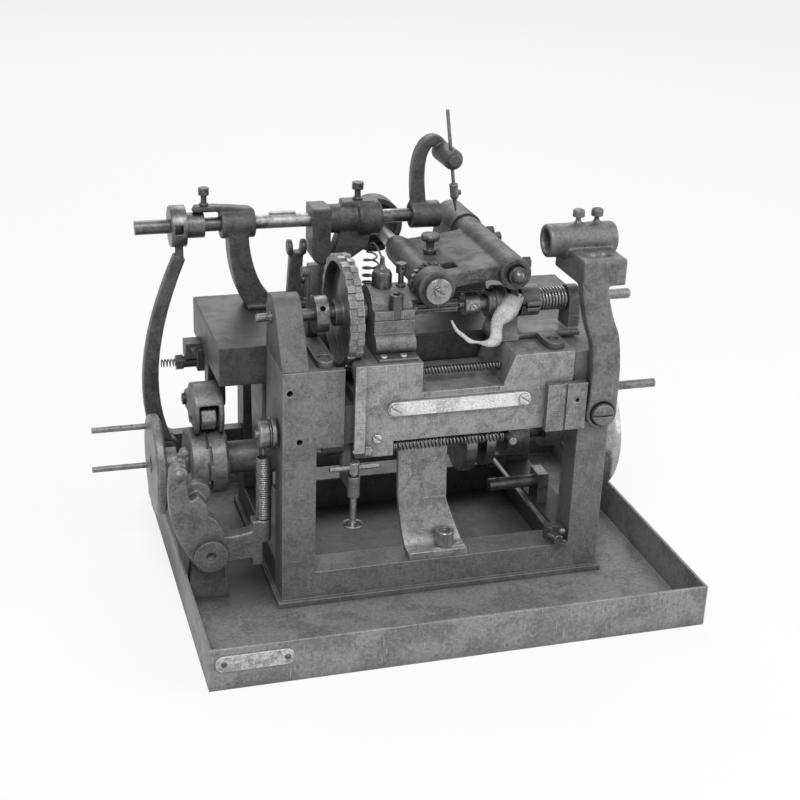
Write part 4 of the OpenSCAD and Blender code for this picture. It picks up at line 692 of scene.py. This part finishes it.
def domed(name, place, axis, radius, height, slot, turn):
    # a low round head on a flat base; a slot wider than 0 is cut across it, turned by some degrees
    form, sides = headSettings, headSettings["sides"]
    work = bmesh.new()
    profile = [(1, 0), (1, form["wall"])]
    for angle in (math.pi / 2 * i / 4 for i in range(1, 4)):
        profile.append((1 - form["shoulder"] + form["shoulder"] * math.cos(angle),
                        form["wall"] + form["rise"] * math.sin(angle)))
    circle = [(math.cos(math.tau * k / sides), math.sin(math.tau * k / sides)) for k in range(sides)]
    rings = [[work.verts.new((radius * out * x, radius * out * y, height * up)) for x, y in circle]
             for out, up in (*profile, *form["crown"])]
    for one, two in zip(rings, rings[1:]):
        for k in range(sides):
            after = (k + 1) % sides
            work.faces.new((one[k], one[after], two[after], two[k]))
    work.faces.new(rings[-1])
    work.faces.new(list(reversed(rings[0])))
    head = newThing(name, [])
    work.to_mesh(head.data)
    work.free()
    if slot:
        work = bmesh.new()
        low = 0.5 + form["slotFrom"]
        for vertex in bmesh.ops.create_cube(work, size=1)["verts"]:
            x, y, z = vertex.co
            vertex.co = Vector((x * 3 * radius, y * slot, (z + low) * height))
        work.transform(Matrix.Rotation(math.radians(turn), 4, "Z"))
        cutter = newThing("slotCutter", [])
        work.to_mesh(cutter.data)
        work.free()
        groove = head.modifiers.new("slot", "BOOLEAN")
        groove.object = cutter
        groove.operation = "DIFFERENCE"
        settle(head)
        bpy.data.objects.remove(cutter)
    facing = Vector(axis).to_track_quat("Z", "Y").to_matrix().to_4x4()
    head.data.transform(Matrix.Scale(mm, 4) @ Matrix.Translation(place) @ facing)
    return head


# Heads that the photograph shows: place of the base, way it faces, radius, height, slot and its turn
screwSettings = {
    "armScrew": {"place": (112, -61.4, 126), "axis": (0, -1, 0), "radius": 7.7, "height": 4.3,
                 "slot": 1.6, "turn": 0, "body": "frame", "metal": ("machinedIron", 0.95)},
    "bearingScrew": {"place": (60.4, -27, 198.4), "axis": (0, -0.9, 0.43), "radius": 2.8, "height": 4.6,
                     "slot": 0.7, "turn": 40, "body": "work_carriage", "metal": ("brightPlate", 1.2)},
    "sleeveScrew": {"place": (31, -23.6, 193.3), "axis": (0, -1, 0), "radius": 2.1, "height": 1.6,
                    "slot": 0.6, "turn": -50, "body": "tail", "metal": ("brightPlate", 1.1)},
    "pointerScrew": {"place": (43.2, 55, 248), "axis": (0.99, 0, 0.13), "radius": 1.9, "height": 2.9,
                     "slot": 0, "turn": 0, "body": "pointer", "metal": ("machinedIron", 0.8)},
    "tubeKnobLeft": {"place": (99, -26, 251.9), "axis": (0, 0, 1), "radius": 3.95, "height": 5.1,
                     "slot": 0, "turn": 0, "body": "swing_arm", "metal": ("machinedIron", 0.8)},
    "tubeKnobRight": {"place": (112, -26, 251.9), "axis": (0, 0, 1), "radius": 3.95, "height": 5.1,
                      "slot": 1.1, "turn": 15, "body": "swing_arm", "metal": ("machinedIron", 0.75)},
}
for name, settings in screwSettings.items():
    head = domed(name, settings["place"], settings["axis"], settings["radius"], settings["height"],
                 settings["slot"], settings["turn"])
    finishPiece(head, settings["body"], metalFinish(*settings["metal"]))


# Bare tag plate on the front of the tray with its two rivets
tagSettings = {"left": -160.8, "right": -112.6, "low": 13.2, "high": 24.2, "front": -135.8, "thick": 0.9,
               "corner": 4.6, "cornerSteps": 6, "rim": 0.3, "rivets": (-155.7, -116.6), "rivet": 2.1,
               "rivetHeight": 0.9}


def tagPlate(settings):
    corner, steps, outline = settings["corner"], settings["cornerSteps"], []
    corners = (("right", "high"), ("left", "high"), ("left", "low"), ("right", "low"))
    for quarter, (side, end) in enumerate(corners):
        x = settings[side] - (corner if side == "right" else -corner)
        z = settings[end] - (corner if end == "high" else -corner)
        for k in range(steps + 1):
            angle = math.pi / 2 * (quarter + k / steps)
            outline.append((x + corner * math.cos(angle), z + corner * math.sin(angle)))
    work = bmesh.new()
    back = settings["front"] + settings["thick"]
    face = work.faces.new([work.verts.new((x, back, z)) for x, z in outline])
    front = bmesh.ops.extrude_face_region(work, geom=[face])["geom"]
    rim = [item for item in front if isinstance(item, bmesh.types.BMVert)]
    bmesh.ops.translate(work, verts=rim, vec=(0, -settings["thick"], 0))
    edges = [edge for edge in work.edges if all(vertex in rim for vertex in edge.verts)]
    bmesh.ops.bevel(work, geom=edges, offset=settings["rim"], segments=2, affect="EDGES", profile=0.5)
    bmesh.ops.recalc_face_normals(work, faces=work.faces)
    bmesh.ops.scale(work, vec=(mm, mm, mm), verts=work.verts)
    plate = newThing("tagPlate", [])
    work.to_mesh(plate.data)
    work.free()
    plate.data.materials.append(metalFinish("tagMetal"))
    middle = (settings["low"] + settings["high"]) / 2
    places = [Vector((x, settings["front"], middle)) * mm for x in settings["rivets"]]
    rivets = newThing("tagRivets", places)
    rivetTree.fit(rivets, {"Radius": settings["rivet"] * mm, "Height": settings["rivetHeight"] * mm,
                           "Material": metalFinish("machinedIron", 0.7)})
    return joinThings("tagPlate", [plate, settle(rivets)])


finishPiece(tagPlate(tagSettings), "frame")
print("small pieces made")


# Studio

placeCamera(cameraSettings)
for lampName in ("key", "fill", "back"):
    hangLamp(lampName, lampSettings[lampName], lampSettings["aim"])


# Strength of the world as a light; reach of the floor in metres, its tone and its own glow
studioSettings = {"world": 0.3, "reach": 6, "tone": 0.88, "glow": 0.8}


def litWorld(name, shade):
    # white for the camera and in reflections, dimmer as a light
    finish = Finish(bpy.data.worlds.new(name))
    seen = finish.node("LightPath", out="Is Camera Ray")
    mirrored = finish.node("LightPath", out="Is Glossy Ray")
    through = finish.node("LightPath", out="Is Transmission Ray")
    strength = shade + (1 - shade) * seen.most(mirrored).most(through)
    sky = finish.node("Background", {}, {"Color": (1, 1, 1, 1), "Strength": strength})
    finish.node("OutputWorld", {}, {"Surface": sky})
    scene.world = finish.owner


def layFloor(size, pale, glow):
    # a matt sheet that glows only for the camera and in reflections
    floor = newThing("floor", [(-size, -size, 0), (size, -size, 0), (size, size, 0), (-size, size, 0)],
                     faces=[(0, 1, 2, 3)])
    finish = Finish(bpy.data.materials.new("paleFloor"))
    seen = finish.node("LightPath", out="Is Camera Ray")
    mirrored = finish.node("LightPath", out="Is Glossy Ray")
    plain = finish.node("BsdfDiffuse", {}, {"Color": (pale, pale, pale, 1)})
    white = finish.node("Emission", {}, {"Color": (1, 1, 1, 1), "Strength": 1.0})
    blend = finish.node("MixShader", {}, {0: seen.most(mirrored) * glow, 1: plain, 2: white})
    finish.node("OutputMaterial", {}, {"Surface": blend})
    floor.data.materials.append(finish.owner)


litWorld("studio", studioSettings["world"])
layFloor(studioSettings["reach"], studioSettings["tone"], studioSettings["glow"])
scene.view_settings.view_transform = "Standard"
